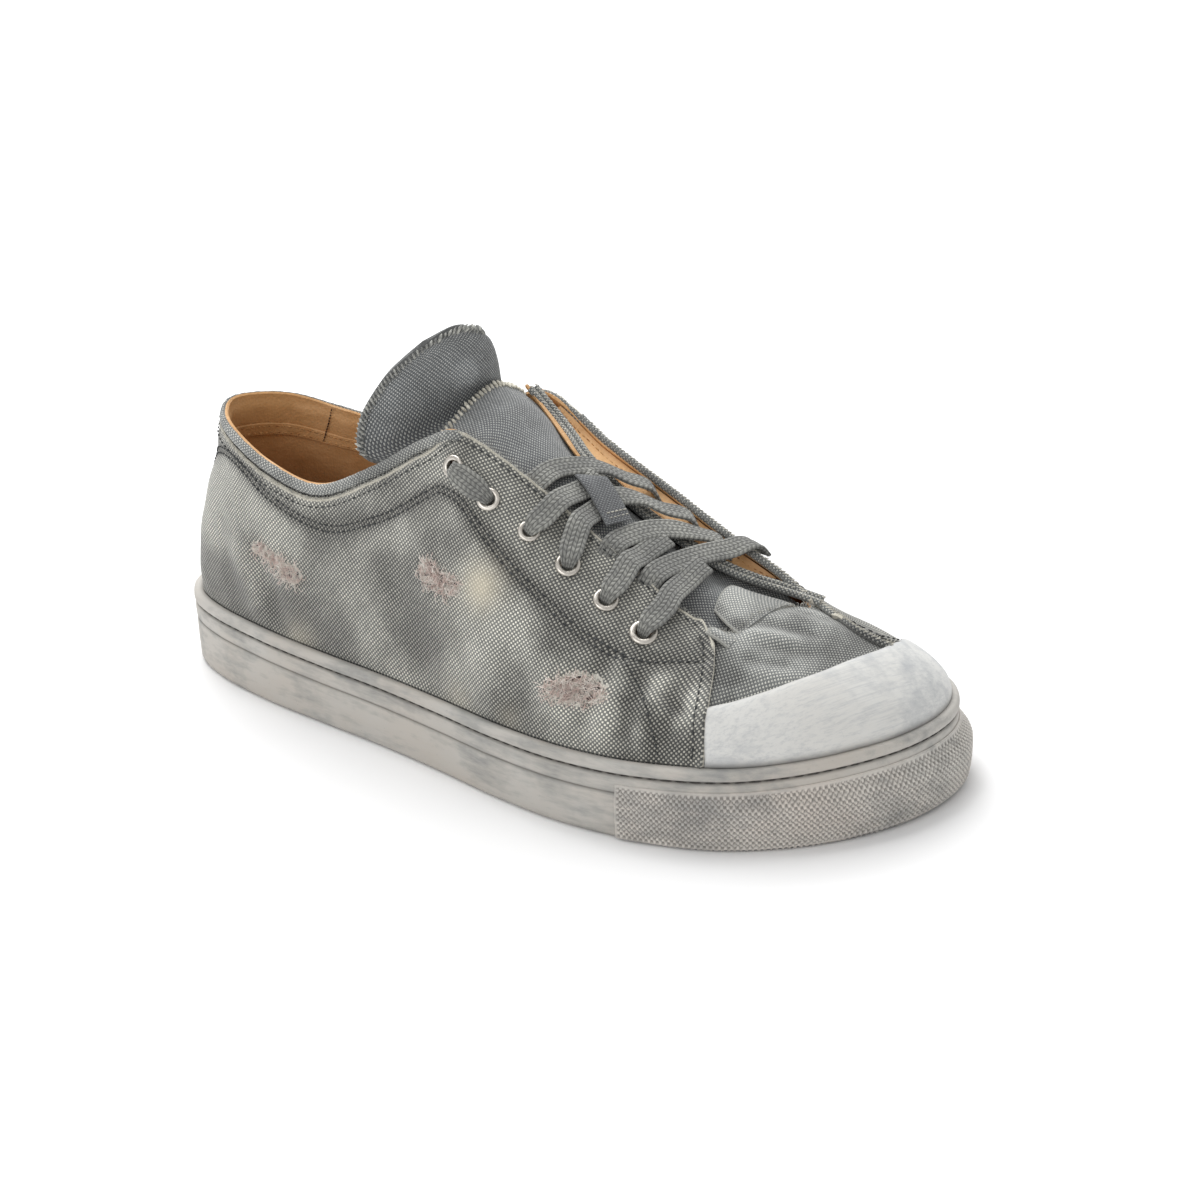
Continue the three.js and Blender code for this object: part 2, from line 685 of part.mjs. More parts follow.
// ---- laces ----
// A flat lace through points given with the way its face looks.
function lace(stops, width = LACE_WIDTH, thick = LACE_THICK) {
  const path = new THREE.CatmullRomCurve3(stops.map(([p]) => V(...p)), false, "centripetal");
  const count = (stops.length - 1) * 2;
  const loops = [];
  for (let i = 0; i <= count; i++) {
    const t = i / count;
    const k = Math.min(Math.floor(t * (stops.length - 1)), stops.length - 2);
    const f = t * (stops.length - 1) - k;
    const up = V(...stops[k][1]).lerp(V(...stops[k + 1][1]), f);
    const along = path.getTangent(t);
    const side = along.clone().cross(up).normalize();
    const face = side.clone().cross(along).normalize();
    const centre = path.getPoint(t);
    const at = (a, b) => centre.clone().addScaledVector(side, a).addScaledVector(face, b);
    const [w, h] = [width / 2, thick / 2];
    const flat = w * 0.8;
    loops.push([at(w, 0), at(flat, h), at(-flat, h), at(-w, 0), at(-flat, -h), at(flat, -h)]);
  }
  return manifoldOf(loftFan(loops));
}

// Which way a lace's face looks over the outer eyestay, its edge, the tongue and the inner side.
const ON_SIDE = [0.42, -0.6, 0.68];
const ON_EDGE = [0.5, -0.35, 0.79];
const ON_TONGUE = [0.53, -0.1, 0.84];
const ON_INNER = [0.47, 0.25, 0.84];

// A straight run of lace outside the upper, from one eyelet to the next.
function barBetween(a, b) {
  const proud = GAP + FLANGE_HEIGHT + GAP + LACE_THICK / 2;
  const stop = (t, lift) => {
    const normal = a.normal.clone().lerp(b.normal, t).normalize();
    const p = a.at.clone().lerp(b.at, t).addScaledVector(normal, proud + lift);
    return [p.toArray(), normal.toArray()];
  };
  return [stop(0.1, 0.1), stop(0.5, 0.8), stop(0.9, 0.1)];
}

const LACE_RUNS = {
  lace_bar_outer: [barBetween(EYELET_PLACES[0], EYELET_PLACES[1])],
  lace_bar_inner: [barBetween(EYELET_PLACES[EYELETS], EYELET_PLACES[EYELETS + 1])],
  lace_cross_rear: [
    [
      [[16.5, -20.5, 97.9], ON_TONGUE], [[17.2, -12, 98.6], ON_TONGUE], [[21, -2.5, 97.3], ON_TONGUE],
      [[25, 5.5, 94.6], ON_INNER], [[30.5, 11, 90], ON_INNER], [[33, 15.5, 88], ON_INNER],
    ],
    [
      [[22.3, -36.2, 85.8], ON_SIDE], [[24.6, -30.2, 90.2], ON_SIDE], [[26.3, -23.5, 93.4], ON_EDGE],
      [[26.4, -14, 92.8], ON_TONGUE], [[27.5, -7.5, 93], ON_TONGUE], [[27, -1, 94.2], ON_TONGUE],
    ],
  ],
  lace_strand_middle: [[
    [[36.4, -38, 76.4], ON_SIDE], [[35.6, -30.6, 83], ON_SIDE], [[34.4, -24, 87.5], ON_EDGE],
    [[33.6, -16.5, 87.6], ON_TONGUE], [[34, -7.5, 88.2], ON_TONGUE], [[35, -1, 88.6], ON_TONGUE],
    [[39.5, 5, 86.2], ON_INNER], [[45.3, 9, 82.4], ON_INNER], [[48.5, 14, 80.2], ON_INNER],
  ]],
  lace_cross_middle: [
    [
      [[44, -19.3, 79.9], ON_TONGUE], [[44.8, -13.5, 80.4], ON_TONGUE], [[48.3, -4.7, 80.3], ON_TONGUE],
      [[52.7, 3.8, 78.3], ON_TONGUE], [[57.9, 12, 74.6], ON_INNER], [[60, 16, 72.6], ON_INNER],
    ],
    [
      [[50.7, -37.4, 68], ON_SIDE], [[51.8, -28.8, 73.4], ON_SIDE], [[51.6, -22.5, 76.4], ON_EDGE],
      [[51.4, -16, 75.8], ON_TONGUE], [[52.4, -9, 76.9], ON_TONGUE], [[53.2, -2.5, 77.6], ON_TONGUE],
    ],
  ],
  lace_cross_front: [
    [
      [[58.4, -19, 71.9], ON_TONGUE], [[59.7, -10.5, 72.4], ON_TONGUE], [[63.5, 2.9, 71.8], ON_TONGUE],
      [[67.2, 13.5, 70.6], ON_TONGUE], [[69.4, 20.3, 70.5], [0.4, 0.35, 0.85]],
      [[70.7, 25, 68.8], [0.3, 0.7, 0.65]], [[71.3, 28, 65], [0.2, 0.85, 0.45]],
    ],
    [
      [[66, -37.6, 60.6], ON_SIDE], [[66.8, -27.6, 65.6], ON_SIDE], [[66, -21, 67.6], ON_EDGE],
      [[65.6, -12.5, 68.2], ON_TONGUE], [[66, -6, 69.6], ON_TONGUE], [[66.2, -1, 70.2], ON_TONGUE],
    ],
  ],
};
for (const [name, runs] of Object.entries(LACE_RUNS)) {
  const joined = runs.map((stops) => lace(stops)).reduce((a, b) => a.add(b));
  add(name, geometryOf(mainBody(joined)), MATERIALS.lace());
}

// ---- lace keeper, a folded webbing tab on the middle of the tongue ----
const KEEPER_WIDTH = 10.5;
const KEEPER_THICK = 1.2;
const KEEPER_STOPS = [
  [[28.5, -6.5, 95.2], ON_TONGUE], [[33, -8.5, 92.2], ON_TONGUE], [[38, -11, 88], ON_TONGUE],
  [[41.5, -12.5, 84.2], ON_TONGUE],
];
add("lace_keeper", geometryOf(lace(KEEPER_STOPS, KEEPER_WIDTH, KEEPER_THICK)), MATERIALS.canvas());

// ---- frame: origin at the bottom centre of the whole ----
const bounds = new THREE.Box3();
for (const mesh of shoe.children) bounds.expandByObject(mesh);
const centre = bounds.getCenter(V());
for (const mesh of shoe.children) mesh.geometry.translate(-centre.x, -centre.y, -bounds.min.z);

export default shoe;
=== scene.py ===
"""A worn canvas sneaker for the right foot: canvas panels over a lined shell on a rubber cup sole.

The shapes are worked out in millimetres in the last's own frame (+X toe, +Y inner side, +Z up) and
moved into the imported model's frame when a mesh is made.
"""
import math

import bmesh
import bpy
import numpy as np
from mathutils import Matrix, Vector


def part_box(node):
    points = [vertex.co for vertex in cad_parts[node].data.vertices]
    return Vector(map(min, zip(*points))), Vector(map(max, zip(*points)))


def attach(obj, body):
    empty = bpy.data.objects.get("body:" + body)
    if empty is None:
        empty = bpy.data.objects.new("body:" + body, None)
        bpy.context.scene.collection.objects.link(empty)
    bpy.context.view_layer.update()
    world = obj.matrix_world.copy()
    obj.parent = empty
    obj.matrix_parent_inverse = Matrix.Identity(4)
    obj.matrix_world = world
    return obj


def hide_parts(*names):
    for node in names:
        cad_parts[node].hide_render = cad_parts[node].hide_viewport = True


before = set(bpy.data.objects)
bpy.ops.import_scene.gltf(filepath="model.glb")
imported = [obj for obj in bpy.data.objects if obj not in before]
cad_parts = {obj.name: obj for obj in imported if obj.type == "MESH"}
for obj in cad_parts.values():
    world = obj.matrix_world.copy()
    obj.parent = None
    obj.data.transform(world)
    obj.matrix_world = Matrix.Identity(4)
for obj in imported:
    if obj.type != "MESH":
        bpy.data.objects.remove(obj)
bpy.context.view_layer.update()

BODY = "root"

# ---- driving dimensions, in millimetres ----
WALL = 2.0
SHELL_SET_IN = 0.8  # the base shell lies this far under the panels' outside
PANEL_THICK = 0.75
LIP_INSET = 3.8
LIP_HEIGHT = 26.6
CUP_FLOOR = 12.0
INSOLE_THICK = 3.6
TOE_SPRING = 1.8
TOE_SPRING_START = 84
ARCH_RISE = 1.6
EYELETS = 6
EYELET_FIRST_X = -7.5
EYELET_PITCH = 14.3
EYELET_CORNER_INSET = 12
EYELET_INSETS = (19, 23)
HOLE_RADIUS = 3.0
LACE_WIDTH = 8.0
LACE_THICK = 1.5
COLLAR_EDGE = 4.9  # from the collar's rim down to the panels' top edge
UV_UNIT = 100.0  # millimetres for one unit of a UV map
TOE_ROW = 13
STATIONS = 76

# Sections round the last, heel to toe on the outer side and back on the inner side: sole edge x, y;
# opening edge x, y, z; rise and bulge of the side above the sole; reach and drop from the opening.
SECTIONS = np.array([
    (-149.8, 0.5, -127.0, 0.0, 100.0, 26, 5.0, 4, 26),
    (-142.3, -17.3, -123.5, -12.0, 98.6, 26, 4.0, 4, 25),
    (-123.0, -28.6, -112.5, -20.8, 95.6, 25, 2.0, 4, 24),
    (-95.0, -36.6, -92.5, -26.6, 88.6, 24, 1.5, 5, 23),
    (-66.0, -41.7, -69.0, -29.2, 84.8, 24, 1.0, 6, 22),
    (-36.0, -46.7, -43.0, -30.2, 96.0, 26, 1.0, 7, 24),
    (-8.0, -52.6, -21.0, -29.6, 109.0, 30, 1.0, 10, 25),
    (20.0, -59.3, -6.0, -28.8, 112.6, 30, 1.0, 14, 24),
    (48.0, -63.2, 18.0, -23.5, 97.0, 26, 1.5, 15, 19),
    (76.0, -61.6, 48.0, -21.5, 76.5, 20, 1.5, 15, 15),
    (102.0, -53.0, 72.0, -21.5, 61.5, 16, 1.0, 16, 9),
    (126.0, -34.0, 85.0, -16.0, 57.0, 13, 0.5, 22, 3),
    (143.0, -8.0, 87.0, -5.0, 58.5, 12, 0.0, 26, 4.5),
    (146.5, 19.0, 91.0, 6.0, 57.5, 11, 0.0, 26, 5),
    (134.0, 39.5, 96.5, 15.5, 55.0, 9, 0.0, 18, 6),
    (108.0, 48.0, 84.0, 21.5, 60.5, 10, 0.0, 12, 9),
    (80.0, 50.0, 65.0, 22.6, 69.5, 16, 0.5, 11, 13),
    (50.0, 48.5, 42.0, 23.8, 81.5, 22, 1.0, 11, 17),
    (20.0, 43.5, 15.0, 25.4, 95.0, 27, 1.0, 11, 21),
    (-8.0, 38.3, -11.5, 28.0, 109.5, 30, 1.0, 9, 26),
    (-38.0, 35.2, -40.0, 32.0, 96.5, 26, 1.0, 5, 24),
    (-70.0, 35.0, -74.0, 31.8, 86.5, 24, 1.5, 4, 22),
    (-102.0, 35.6, -101.0, 29.0, 90.0, 24, 2.0, 4, 22),
    (-132.2, 27.0, -118.5, 18.5, 96.5, 26, 4.0, 4, 24),
])
ROWS = len(SECTIONS)


# ---- small helpers ----
def smooth(x, a, b):
    t = np.clip((np.asarray(x, float) - a) / (b - a), 0, 1)
    return t * t * (3 - 2 * t)


def unit(v):
    return v / np.maximum(np.linalg.norm(v, axis=-1, keepdims=True), 1e-9)


def catmull(a, b, c, d, t):
    linear = c - a
    square = 2 * a - 5 * b + 4 * c - d
    cube = 3 * b - a - 3 * c + d
    return 0.5 * (2 * b + linear * t + square * t * t + cube * t ** 3)


def through(points, count):
    """A smooth line of count points through a few, given as rows."""
    p = np.asarray(points, float)
    s = np.linspace(0, len(p) - 1, count)
    i = np.minimum(s.astype(int), len(p) - 2)
    t = (s - i)[:, None]
    a, d = p[np.maximum(i - 1, 0)], p[np.minimum(i + 2, len(p) - 1)]
    return catmull(a, p[i], p[i + 1], d, t)


def run_along(line):
    """How far along a line each of its points lies."""
    return np.concatenate([[0], np.cumsum(np.linalg.norm(np.diff(line, axis=0), axis=1))])


def evenly(line, pitch):
    """The same line with its points a pitch apart."""
    run = run_along(line)
    count = max(int(run[-1] / pitch), 2)
    at = np.linspace(0, run[-1], count + 1)
    return np.stack([np.interp(at, run, line[:, k]) for k in range(line.shape[1])], axis=1)


def sewing_row(line, up, pitch, lift=0.0):
    """Stitch places a pitch apart along a line, lifted off it: (points, way up, way along)."""
    even = evenly(np.concatenate([line, up], 1), pitch)
    points, ups = even[:, :3], even[:, 3:]
    return points + ups * lift, unit(ups), unit(np.gradient(points, axis=0))


def plain_uv(rows, columns):
    """A map for small sheets whose pattern needs no measure."""
    return np.stack(np.broadcast_arrays(np.arange(float(rows))[:, None], np.arange(float(columns))[None]),
                    -1)


# ---- the last's surface ----
def section(u):
    u = np.asarray(u, float)
    i = np.floor(u).astype(int)
    t = (u - i)[..., None]
    a, b, c, d = (SECTIONS[(i + k) % ROWS] for k in (-1, 0, 1, 2))
    return catmull(a, b, c, d, t)


def lip_height(x):
    heel = 1.3 * smooth(-x, 55, 115)
    toe = 0.6 * smooth(x, 60, 100) + 1.9 * smooth(x, 100, 150)
    return LIP_HEIGHT + heel + toe - 0.4 * smooth(x, -60, 0) * (1 - smooth(x, 20, 80))


def toe_spring(x):
    t = np.clip((x - TOE_SPRING_START) / (150 - TOE_SPRING_START), 0, 1.1)
    return TOE_SPRING * t * t


def sole_edge(u):
    s = section(u)
    a, b = section(u - 0.01), section(u + 0.01)
    zero = np.zeros_like(s[..., 0])
    out = unit(np.stack([b[..., 1] - a[..., 1], a[..., 0] - b[..., 0], zero], -1))
    return np.stack([s[..., 0], s[..., 1], zero], -1), out


def skin(u, w):
    """The outside of the upper at u rows round it and w from the foot of its wall (-1) through the
    sole's lip (0) to the opening edge (1)."""
    u, w = np.broadcast_arrays(np.asarray(u, float), np.asarray(w, float))
    s = section(u)
    point, out = sole_edge(u)
    lip = point - LIP_INSET * out
    lip[..., 2] = lip_height(s[..., 0])
    top = s[..., 2:5]
    rise, bulge, reach, drop = (s[..., k][..., None] for k in (5, 6, 7, 8))
    run = lip - top
    run[..., 2] = 0
    run = unit(run)
    low = lip + out * bulge
    low[..., 2] += rise[..., 0]
    high = top + run * reach
    high[..., 2] -= drop[..., 0]
    t = np.maximum(w, 0)[..., None]
    curve = (1 - t) ** 3 * lip + 3 * (1 - t) ** 2 * t * low + 3 * (1 - t) * t * t * high + t ** 3 * top
    foot = lip.copy()
    foot[..., 2] = lip[..., 2] + np.minimum(w, 0) * -1 * (CUP_FLOOR + 0.3 - lip[..., 2])
    return np.where(w[..., None] < 0, foot, curve)


def skin_normal(u, w):
    u, w = np.broadcast_arrays(np.asarray(u, float), np.asarray(w, float))
    v = np.clip(w, 0.01, 0.99)
    across = skin(u, v + 0.01) - skin(u, v - 0.01)
    along = skin(u + 0.02, v) - skin(u - 0.02, v)
    return unit(np.cross(along, across))


def skin_off(u, w, d):
    u, w = np.broadcast_arrays(np.asarray(u, float), np.asarray(w, float))
    flat = sole_edge(u)[1]
    blend = smooth(w, 0, 0.12)[..., None]
    way = unit(flat * (1 - blend) + skin_normal(u, w) * blend)
    return skin(u, w) + way * np.asarray(d, float)[..., None]


_GRID_U = np.linspace(0, ROWS, 481)
_GRID_W = np.linspace(0, 1, 81)
_GRID_P = skin(_GRID_U[:, None], _GRID_W[None, :])


def locate(points):
    """u and w of the skin's points nearest to the given ones."""
    points = np.asarray(points, float).reshape(-1, 3)
    flat = _GRID_P.reshape(-1, 3)
    near = np.array([np.argmin(((flat - p) ** 2).sum(1)) for p in points])
    u, w = _GRID_U[near // len(_GRID_W)], _GRID_W[near % len(_GRID_W)]
    for _ in range(5):
        here = skin(u, w)
        du = (skin(u + 0.01, w) - skin(u - 0.01, w)) / 0.02
        v = np.clip(w, 0.01, 0.99)
        dw = (skin(u, v + 0.01) - skin(u, v - 0.01)) / 0.02
        gap = points - here
        a, b, c = (du * du).sum(1), (du * dw).sum(1), (dw * dw).sum(1)
        e, f = (du * gap).sum(1), (dw * gap).sum(1)
        det = a * c - b * b
        u = u + (c * e - b * f) / det
        w = np.clip(w + (a * f - b * e) / det, 0, 1)
    return u, w


# ---- the frame: where the last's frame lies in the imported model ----
def stations():
    half = STATIONS // 2
    outer = TOE_ROW * np.arange(half + 1) / half
    inner = ROWS - (ROWS - TOE_ROW) * np.arange(half, 0, -1) / half
    return np.concatenate([outer, inner])


def frame_shift():
    point, out = sole_edge(stations())
    edge = point + 0.2 * out
    low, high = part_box("outsole")
    middle = (edge.min(0) + edge.max(0)) / 2
    return np.array([(low.x + high.x) * 500 - middle[0], (low.y + high.y) * 500 - middle[1], 0.0])


SHIFT = frame_shift()


def placed(points):
    return (np.asarray(points, float) + SHIFT) * 0.001


# ---- wear, with some painted highlight and shadow, listed spots: x, y, z, radius, strength ----
PALE_WEAR_AND_LIGHT = [
    (-104, -29, 60, 20, 0.22), (-60, -36, 62, 12, 0.15),
    (-120, -22, 52, 10, 0.4), (-30, -38, 78, 9, 0.35), (38, -52, 40, 6, 0.35),
    # the spots at x 77 to 90 here and the one at (84, -20, 58) are painted highlight on the vamp's turned-up
    # tuck and stub
    (77, -1, 63, 6, 1.2), (83, -9, 61, 4, 0.7), (90, -15, 58, 4, 0.5), (82, -22, 59, 2, 0.9),
    (-22, -4, 124, 4.2, 1.9),
    (84, -20, 58, 4, 1.0), (100, 18, 54, 5, 0.5), (62, -56, 38, 6, 0.35),
    (74, -47, 50, 6, 0.3), (86, -46, 46, 5, 0.35), (-3, -40, 95, 7, 0.3), (30, -40, 80, 5, 0.3),
    (-69, -31, 78, 14, 0.55), (-126, -20, 66, 14, 0.6), (-87, -33, 62, 13, 0.55), (-41, -35, 79, 13, 0.35),
    (-16, -34, 99, 11, 0.45), (4, -46, 72, 12, 0.55), (25, -51, 57, 12, 0.75), (52, -56, 41, 12, 0.6),
    (84, -50, 43, 8, 0.3), (62, -59, 31, 9, 0.3), (6, -50, 51, 14, 0.4), (-51, -39, 50, 13, 0.3),
    (-114, -21, 86, 14, 0.5), (-18, -46, 30, 13, 0.35), (95, -16, 55, 8, 0.25), (110, -14, 51, 7, 0.2),
    (-94, -34, 48, 11, 0.35), (-77, -36, 30, 8, 0.35), (72, -50, 48, 6, 0.35), (45, -22, 78, 10, 0.25),
    (-20, 33, 84, 16, 0.4), (-90, 32, 66, 18, 0.45), (30, 42, 60, 16, 0.5), (-50, 36, 46, 14, 0.4),
    (75, 43, 42, 14, 0.45), (-135, 8, 60, 16, 0.5), (100, 34, 44, 12, 0.4), (-24, -7, 124, 9, 0.25),
    (-22, -1.5, 122.5, 3, 0.9), (-142, -12, 56, 12, 0.4),
]
DARK_WEAR_AND_SHADE = [
    # painted shadow: (83, -27, 56), (98, -43, 47), (97, -49, 41), (93, -35, 52) by the outer quarter's front
    # edge; (72, -14, 60), (78, 8, 56) on the flap behind the tuck
    (83, -27, 56, 2.6, 2.4), (98, -43, 47, 4, 1.5), (97, -49, 41, 4, 1.4), (93, -35, 52, 4, 1.3),
    (72, -14, 60, 6, 0.8), (78, 8, 56, 6, 0.8),
    (-106, -30, 38, 15, 0.7), (-66, -34, 68, 10, 0.7), (-20, -45, 43, 15, 0.55), (-80, -36, 42, 11, 0.5),
    (60, -46, 55, 10, 0.3), (68, -58, 31, 9, 0.35), (-62, -39, 32, 14, 0.6), (-4, -43, 78, 8, 0.55),
    (39, -46, 63, 12, 0.35), (-130, -22, 40, 13, 0.6), (-35, -39, 66, 10, 0.45), (21, -55, 35, 13, 0.5),
    (113, 3, 51, 11, 0.5), (79, -33, 56, 8, 0.35), (-37, -34, 90, 7, 0.5), (37, -51, 53, 8, 0.35),
    (87, -53, 34, 6, 0.7), (-99, -32, 60, 8, 0.4), (92, -36, 50, 7, 0.4),
    (68, -52, 44, 5, 0.6), (80, -50, 42, 5, 0.7), (86, -14, 58, 3.5, 1.0), (99, 4, 56, 5, 0.7),
    (0, 42, 40, 18, 0.55), (-70, 36, 34, 16, 0.5), (-115, 33, 45, 14, 0.5), (55, 44, 44, 12, 0.5),
    (-45, 34, 76, 12, 0.4), (90, 44, 36, 9, 0.5), (-142, 2, 38, 12, 0.5),
]
# Holes rubbed through the canvas: x, y, z, half length, half height.
TEARS = [(-96, -35, 57, 4.2, 2.2), (-88, -36, 55, 4.5, 2.5), (-80, -36, 52, 5.0, 3.0),
         (-14, -47, 68.5, 4.2, 3.6),
         (-6, -47, 66.5, 6.0, 3.1), (52, -56, 45.5, 7.5, 3.9), (46, -56, 43.5, 5.0, 2.8),
         (-147, -2, 76, 2.5, 2.5)]
STAINS = [(10, -47, 69, 7, 1.0), (-77, -36, 28, 7, 0.35), (1, -53, 29, 6, 0.3), (25, -54, 29, 5, 0.25)]

# Folds of the upper: from, to, half width, height (a trough is below zero).
FOLDS = [
    ((58, -46, 57), (53, -59, 33), 4.5, -1.1), ((64, -42, 57), (61, -59, 33), 4.0, 0.9),
    ((70, -42, 55), (68, -59, 32), 4.2, -1.3), ((76, -42, 53), (75, -57, 32), 3.6, 1.0),
    ((82, -40, 52), (82, -56, 32), 3.4, -1.2), ((88, -40, 50), (88, -54, 32), 3.0, 0.8),
    ((66, -44, 58), (84, -44, 50), 4.0, -0.7), ((-100, -32, 64), (-86, -36, 30), 6.0, -1.1),
    ((-112, -28, 60), (-98, -34, 32), 6.0, 0.8), ((-122, -24, 72), (-112, -30, 34), 6.0, -0.7),
    ((-72, -32, 74), (-28, -40, 84), 6.0, -0.9), ((-30, -42, 70), (-14, -46, 30), 9.0, -0.7),
    ((20, -50, 58), (34, -56, 32), 8.0, -0.7), ((8, -50, 54), (20, -56, 30), 8.0, 0.6),
    ((40, -52, 56), (44, -60, 34), 6.0, 0.7), ((97, -30, 52), (114, -20, 48), 5.0, 0.8),
    ((60, -45, 56), (70, -52, 44), 3.0, 1.0),
    ((72, -47, 52), (86, -50, 42), 3.0, -1.0), ((70, -50, 47), (88, -53, 38), 3.0, 1.0),
    ((92, -22, 55), (112, -8, 51), 4.0, -0.7), ((89, -6, 57), (112, 4, 52), 5.0, 0.7),
    ((86, -17, 58), (106, -8, 52), 2.8, 1.2), ((88, -8, 58), (108, 0, 52), 2.8, -1.2),
    ((90, 2, 57), (111, 8, 51), 2.8, 0.9), ((92, -27, 54), (108, -20, 50), 3.0, -0.9),
    ((90, 12, 57), (104, 12, 53), 4.0, 0.9), ((52, 42, 58), (58, 46, 33), 5.0, -1.0),
    ((62, 41, 56), (68, 47, 32), 4.5, 0.8),
    ((72, 40, 54), (79, 47, 31), 4.5, -1.0), ((-96, 33, 62), (-84, 35, 30), 7.0, -0.8),
    ((-20, 37, 66), (-8, 40, 32), 9.0, -0.6), ((24, 41, 62), (32, 45, 32), 8.0, 0.6),
    ((-142, -6, 70), (-146, -10, 36), 6.0, -0.6), ((-140, 12, 72), (-142, 14, 38), 7.0, 0.6),
]


def to_segment(p, a, b):
    a, b = np.array(a, float), np.array(b, float)
    t = np.clip(((p - a) @ (b - a)) / ((b - a) @ (b - a)), 0, 1)
    return np.linalg.norm(p - a - t[..., None] * (b - a), axis=-1), t


def creases(p):
    """How far the folds lift or sink the upper's surface at each point."""
    rise = np.zeros(p.shape[:-1])
    for a, b, width, height in FOLDS:
        away, t = to_segment(p, a, b)
        ends = smooth(t, -0.02, 0.3) * (1 - 0.7 * smooth(t, 0.85, 1.02))
        rise = rise + height * ends * np.exp(-((away / width) ** 2))
    return rise


def folds(p):
    """How far the upper's surface stands out at each point, from its folds and its soft unevenness."""
    x, y, z = p[..., 0], p[..., 1], p[..., 2]
    rise = 0.28 * np.sin(x / 8.1 + 1.3 * np.sin(z / 13)) * np.sin(z / 9.4 + y / 17 + 0.6)
    rise = rise + 0.18 * np.sin(x / 4.3 + z / 6.1 + 2) * np.sin(z / 5.2 - x / 9.7)
    rise = rise + 1.35 * creases(p)
    flat_rim = 1 - smooth(z, 88, 98)
    return rise * (0.35 + 0.65 * flat_rim)


def torn(p):
    mask = np.zeros(p.shape[:-1])
    for x, y, z, a, b in TEARS:
        ragged = 1 + 0.3 * np.sin(p[..., 0] * 1.7 + z) * np.sin(p[..., 2] * 2.1 + x)
        far = ((p[..., 0] - x) / a) ** 2 + ((p[..., 2] - z) / b) ** 2 + ((p[..., 1] - y) / 12) ** 2
        mask = np.maximum(mask, 1 - smooth(far * ragged, 0.3, 2.0))
    return mask


def blobs(p, spots):
    total = np.zeros(p.shape[:-1])
    for x, y, z, radius, strength in spots:
        far = ((p - (x, y, z)) ** 2).sum(-1) / radius ** 2
        total = total + strength * np.exp(-far)
    return total


# ---- making meshes ----
def add_object(name, data):
    made = bpy.data.objects.new(name, data)
    bpy.context.scene.collection.objects.link(made)
    return made


def finished_mesh(piece):
    """The piece's mesh with its modifiers worked in, which are then removed."""
    bpy.context.view_layer.update()
    made = bpy.data.meshes.new_from_object(piece.evaluated_get(bpy.context.evaluated_depsgraph_get()))
    piece.modifiers.clear()
    return made


def face_outwards(piece):
    """Turns the faces of a closed piece outwards."""
    bm = bmesh.new()
    bm.from_mesh(piece.data)
    bmesh.ops.recalc_face_normals(bm, faces=bm.faces)
    bm.to_mesh(piece.data)
    bm.free()


def make_object(name, points, faces, materials, uv=None, slots=None, sharp=38):
    """A mesh piece from points in the last's frame. uv is given for each point, slots for each face."""
    mesh = bpy.data.meshes.new(name)
    mesh.from_pydata(placed(points).tolist(), [], [list(map(int, f)) for f in faces])
    for m in materials:
        mesh.materials.append(m)
    if slots is not None:
        mesh.polygons.foreach_set("material_index", np.asarray(slots, np.int32))
    if uv is not None:
        loops = np.zeros(len(mesh.loops), np.int32)
        mesh.loops.foreach_get("vertex_index", loops)
        layer = mesh.uv_layers.new(name="UVMap")
        layer.data.foreach_set("uv", (np.asarray(uv, float)[loops] / UV_UNIT).astype(np.float32).ravel())
    mesh.validate()
    mesh.shade_smooth()
    mesh.set_sharp_from_angle(angle=math.radians(sharp))
    piece = add_object(name, mesh)
    face_outwards(piece)
    return piece


def paint(piece, edge=None, painted_shade=0.0):
    """Vertex masks of a canvas piece: washed out or dirty, with painted light and shade, torn, stained, and
    near a frayed edge.
    """
    mesh = piece.data
    co = np.zeros(len(mesh.vertices) * 3)
    mesh.vertices.foreach_get("co", co)
    p = co.reshape(-1, 3) * 1000 - SHIFT
    # seam_shade: painted shade, the canvas darker along each seam's trough
    seam_shade = seam_hollow(p)
    # creases(p) adds painted light and shade on the folds: paler on their ridges, darker in their troughs
    wash_and_shade = blobs(p, PALE_WEAR_AND_LIGHT) - blobs(p, DARK_WEAR_AND_SHADE) - 1.15 * seam_shade ** 0.35 + 0.45 * creases(p) - painted_shade
    masks = {"wash_and_shade": wash_and_shade, "torn": torn(p), "stain": blobs(p, STAINS)}
    masks["edge"] = np.zeros(len(p)) if edge is None else edge
    for name, values in masks.items():
        layer = mesh.attributes.new(name, "FLOAT", "POINT")
        layer.data.foreach_set("value", np.asarray(values, np.float32))


def grid_faces(rows, columns, first=0, closed=False, flip=False):
    i = np.arange(rows if closed else rows - 1)
    j = np.arange(columns - 1)
    a = (i[:, None] * columns + j).ravel()
    b = (((i + 1) % rows)[:, None] * columns + j).ravel()
    quads = np.stack([a, b, b + 1, a + 1], 1) + first
    return quads[:, ::-1] if flip else quads


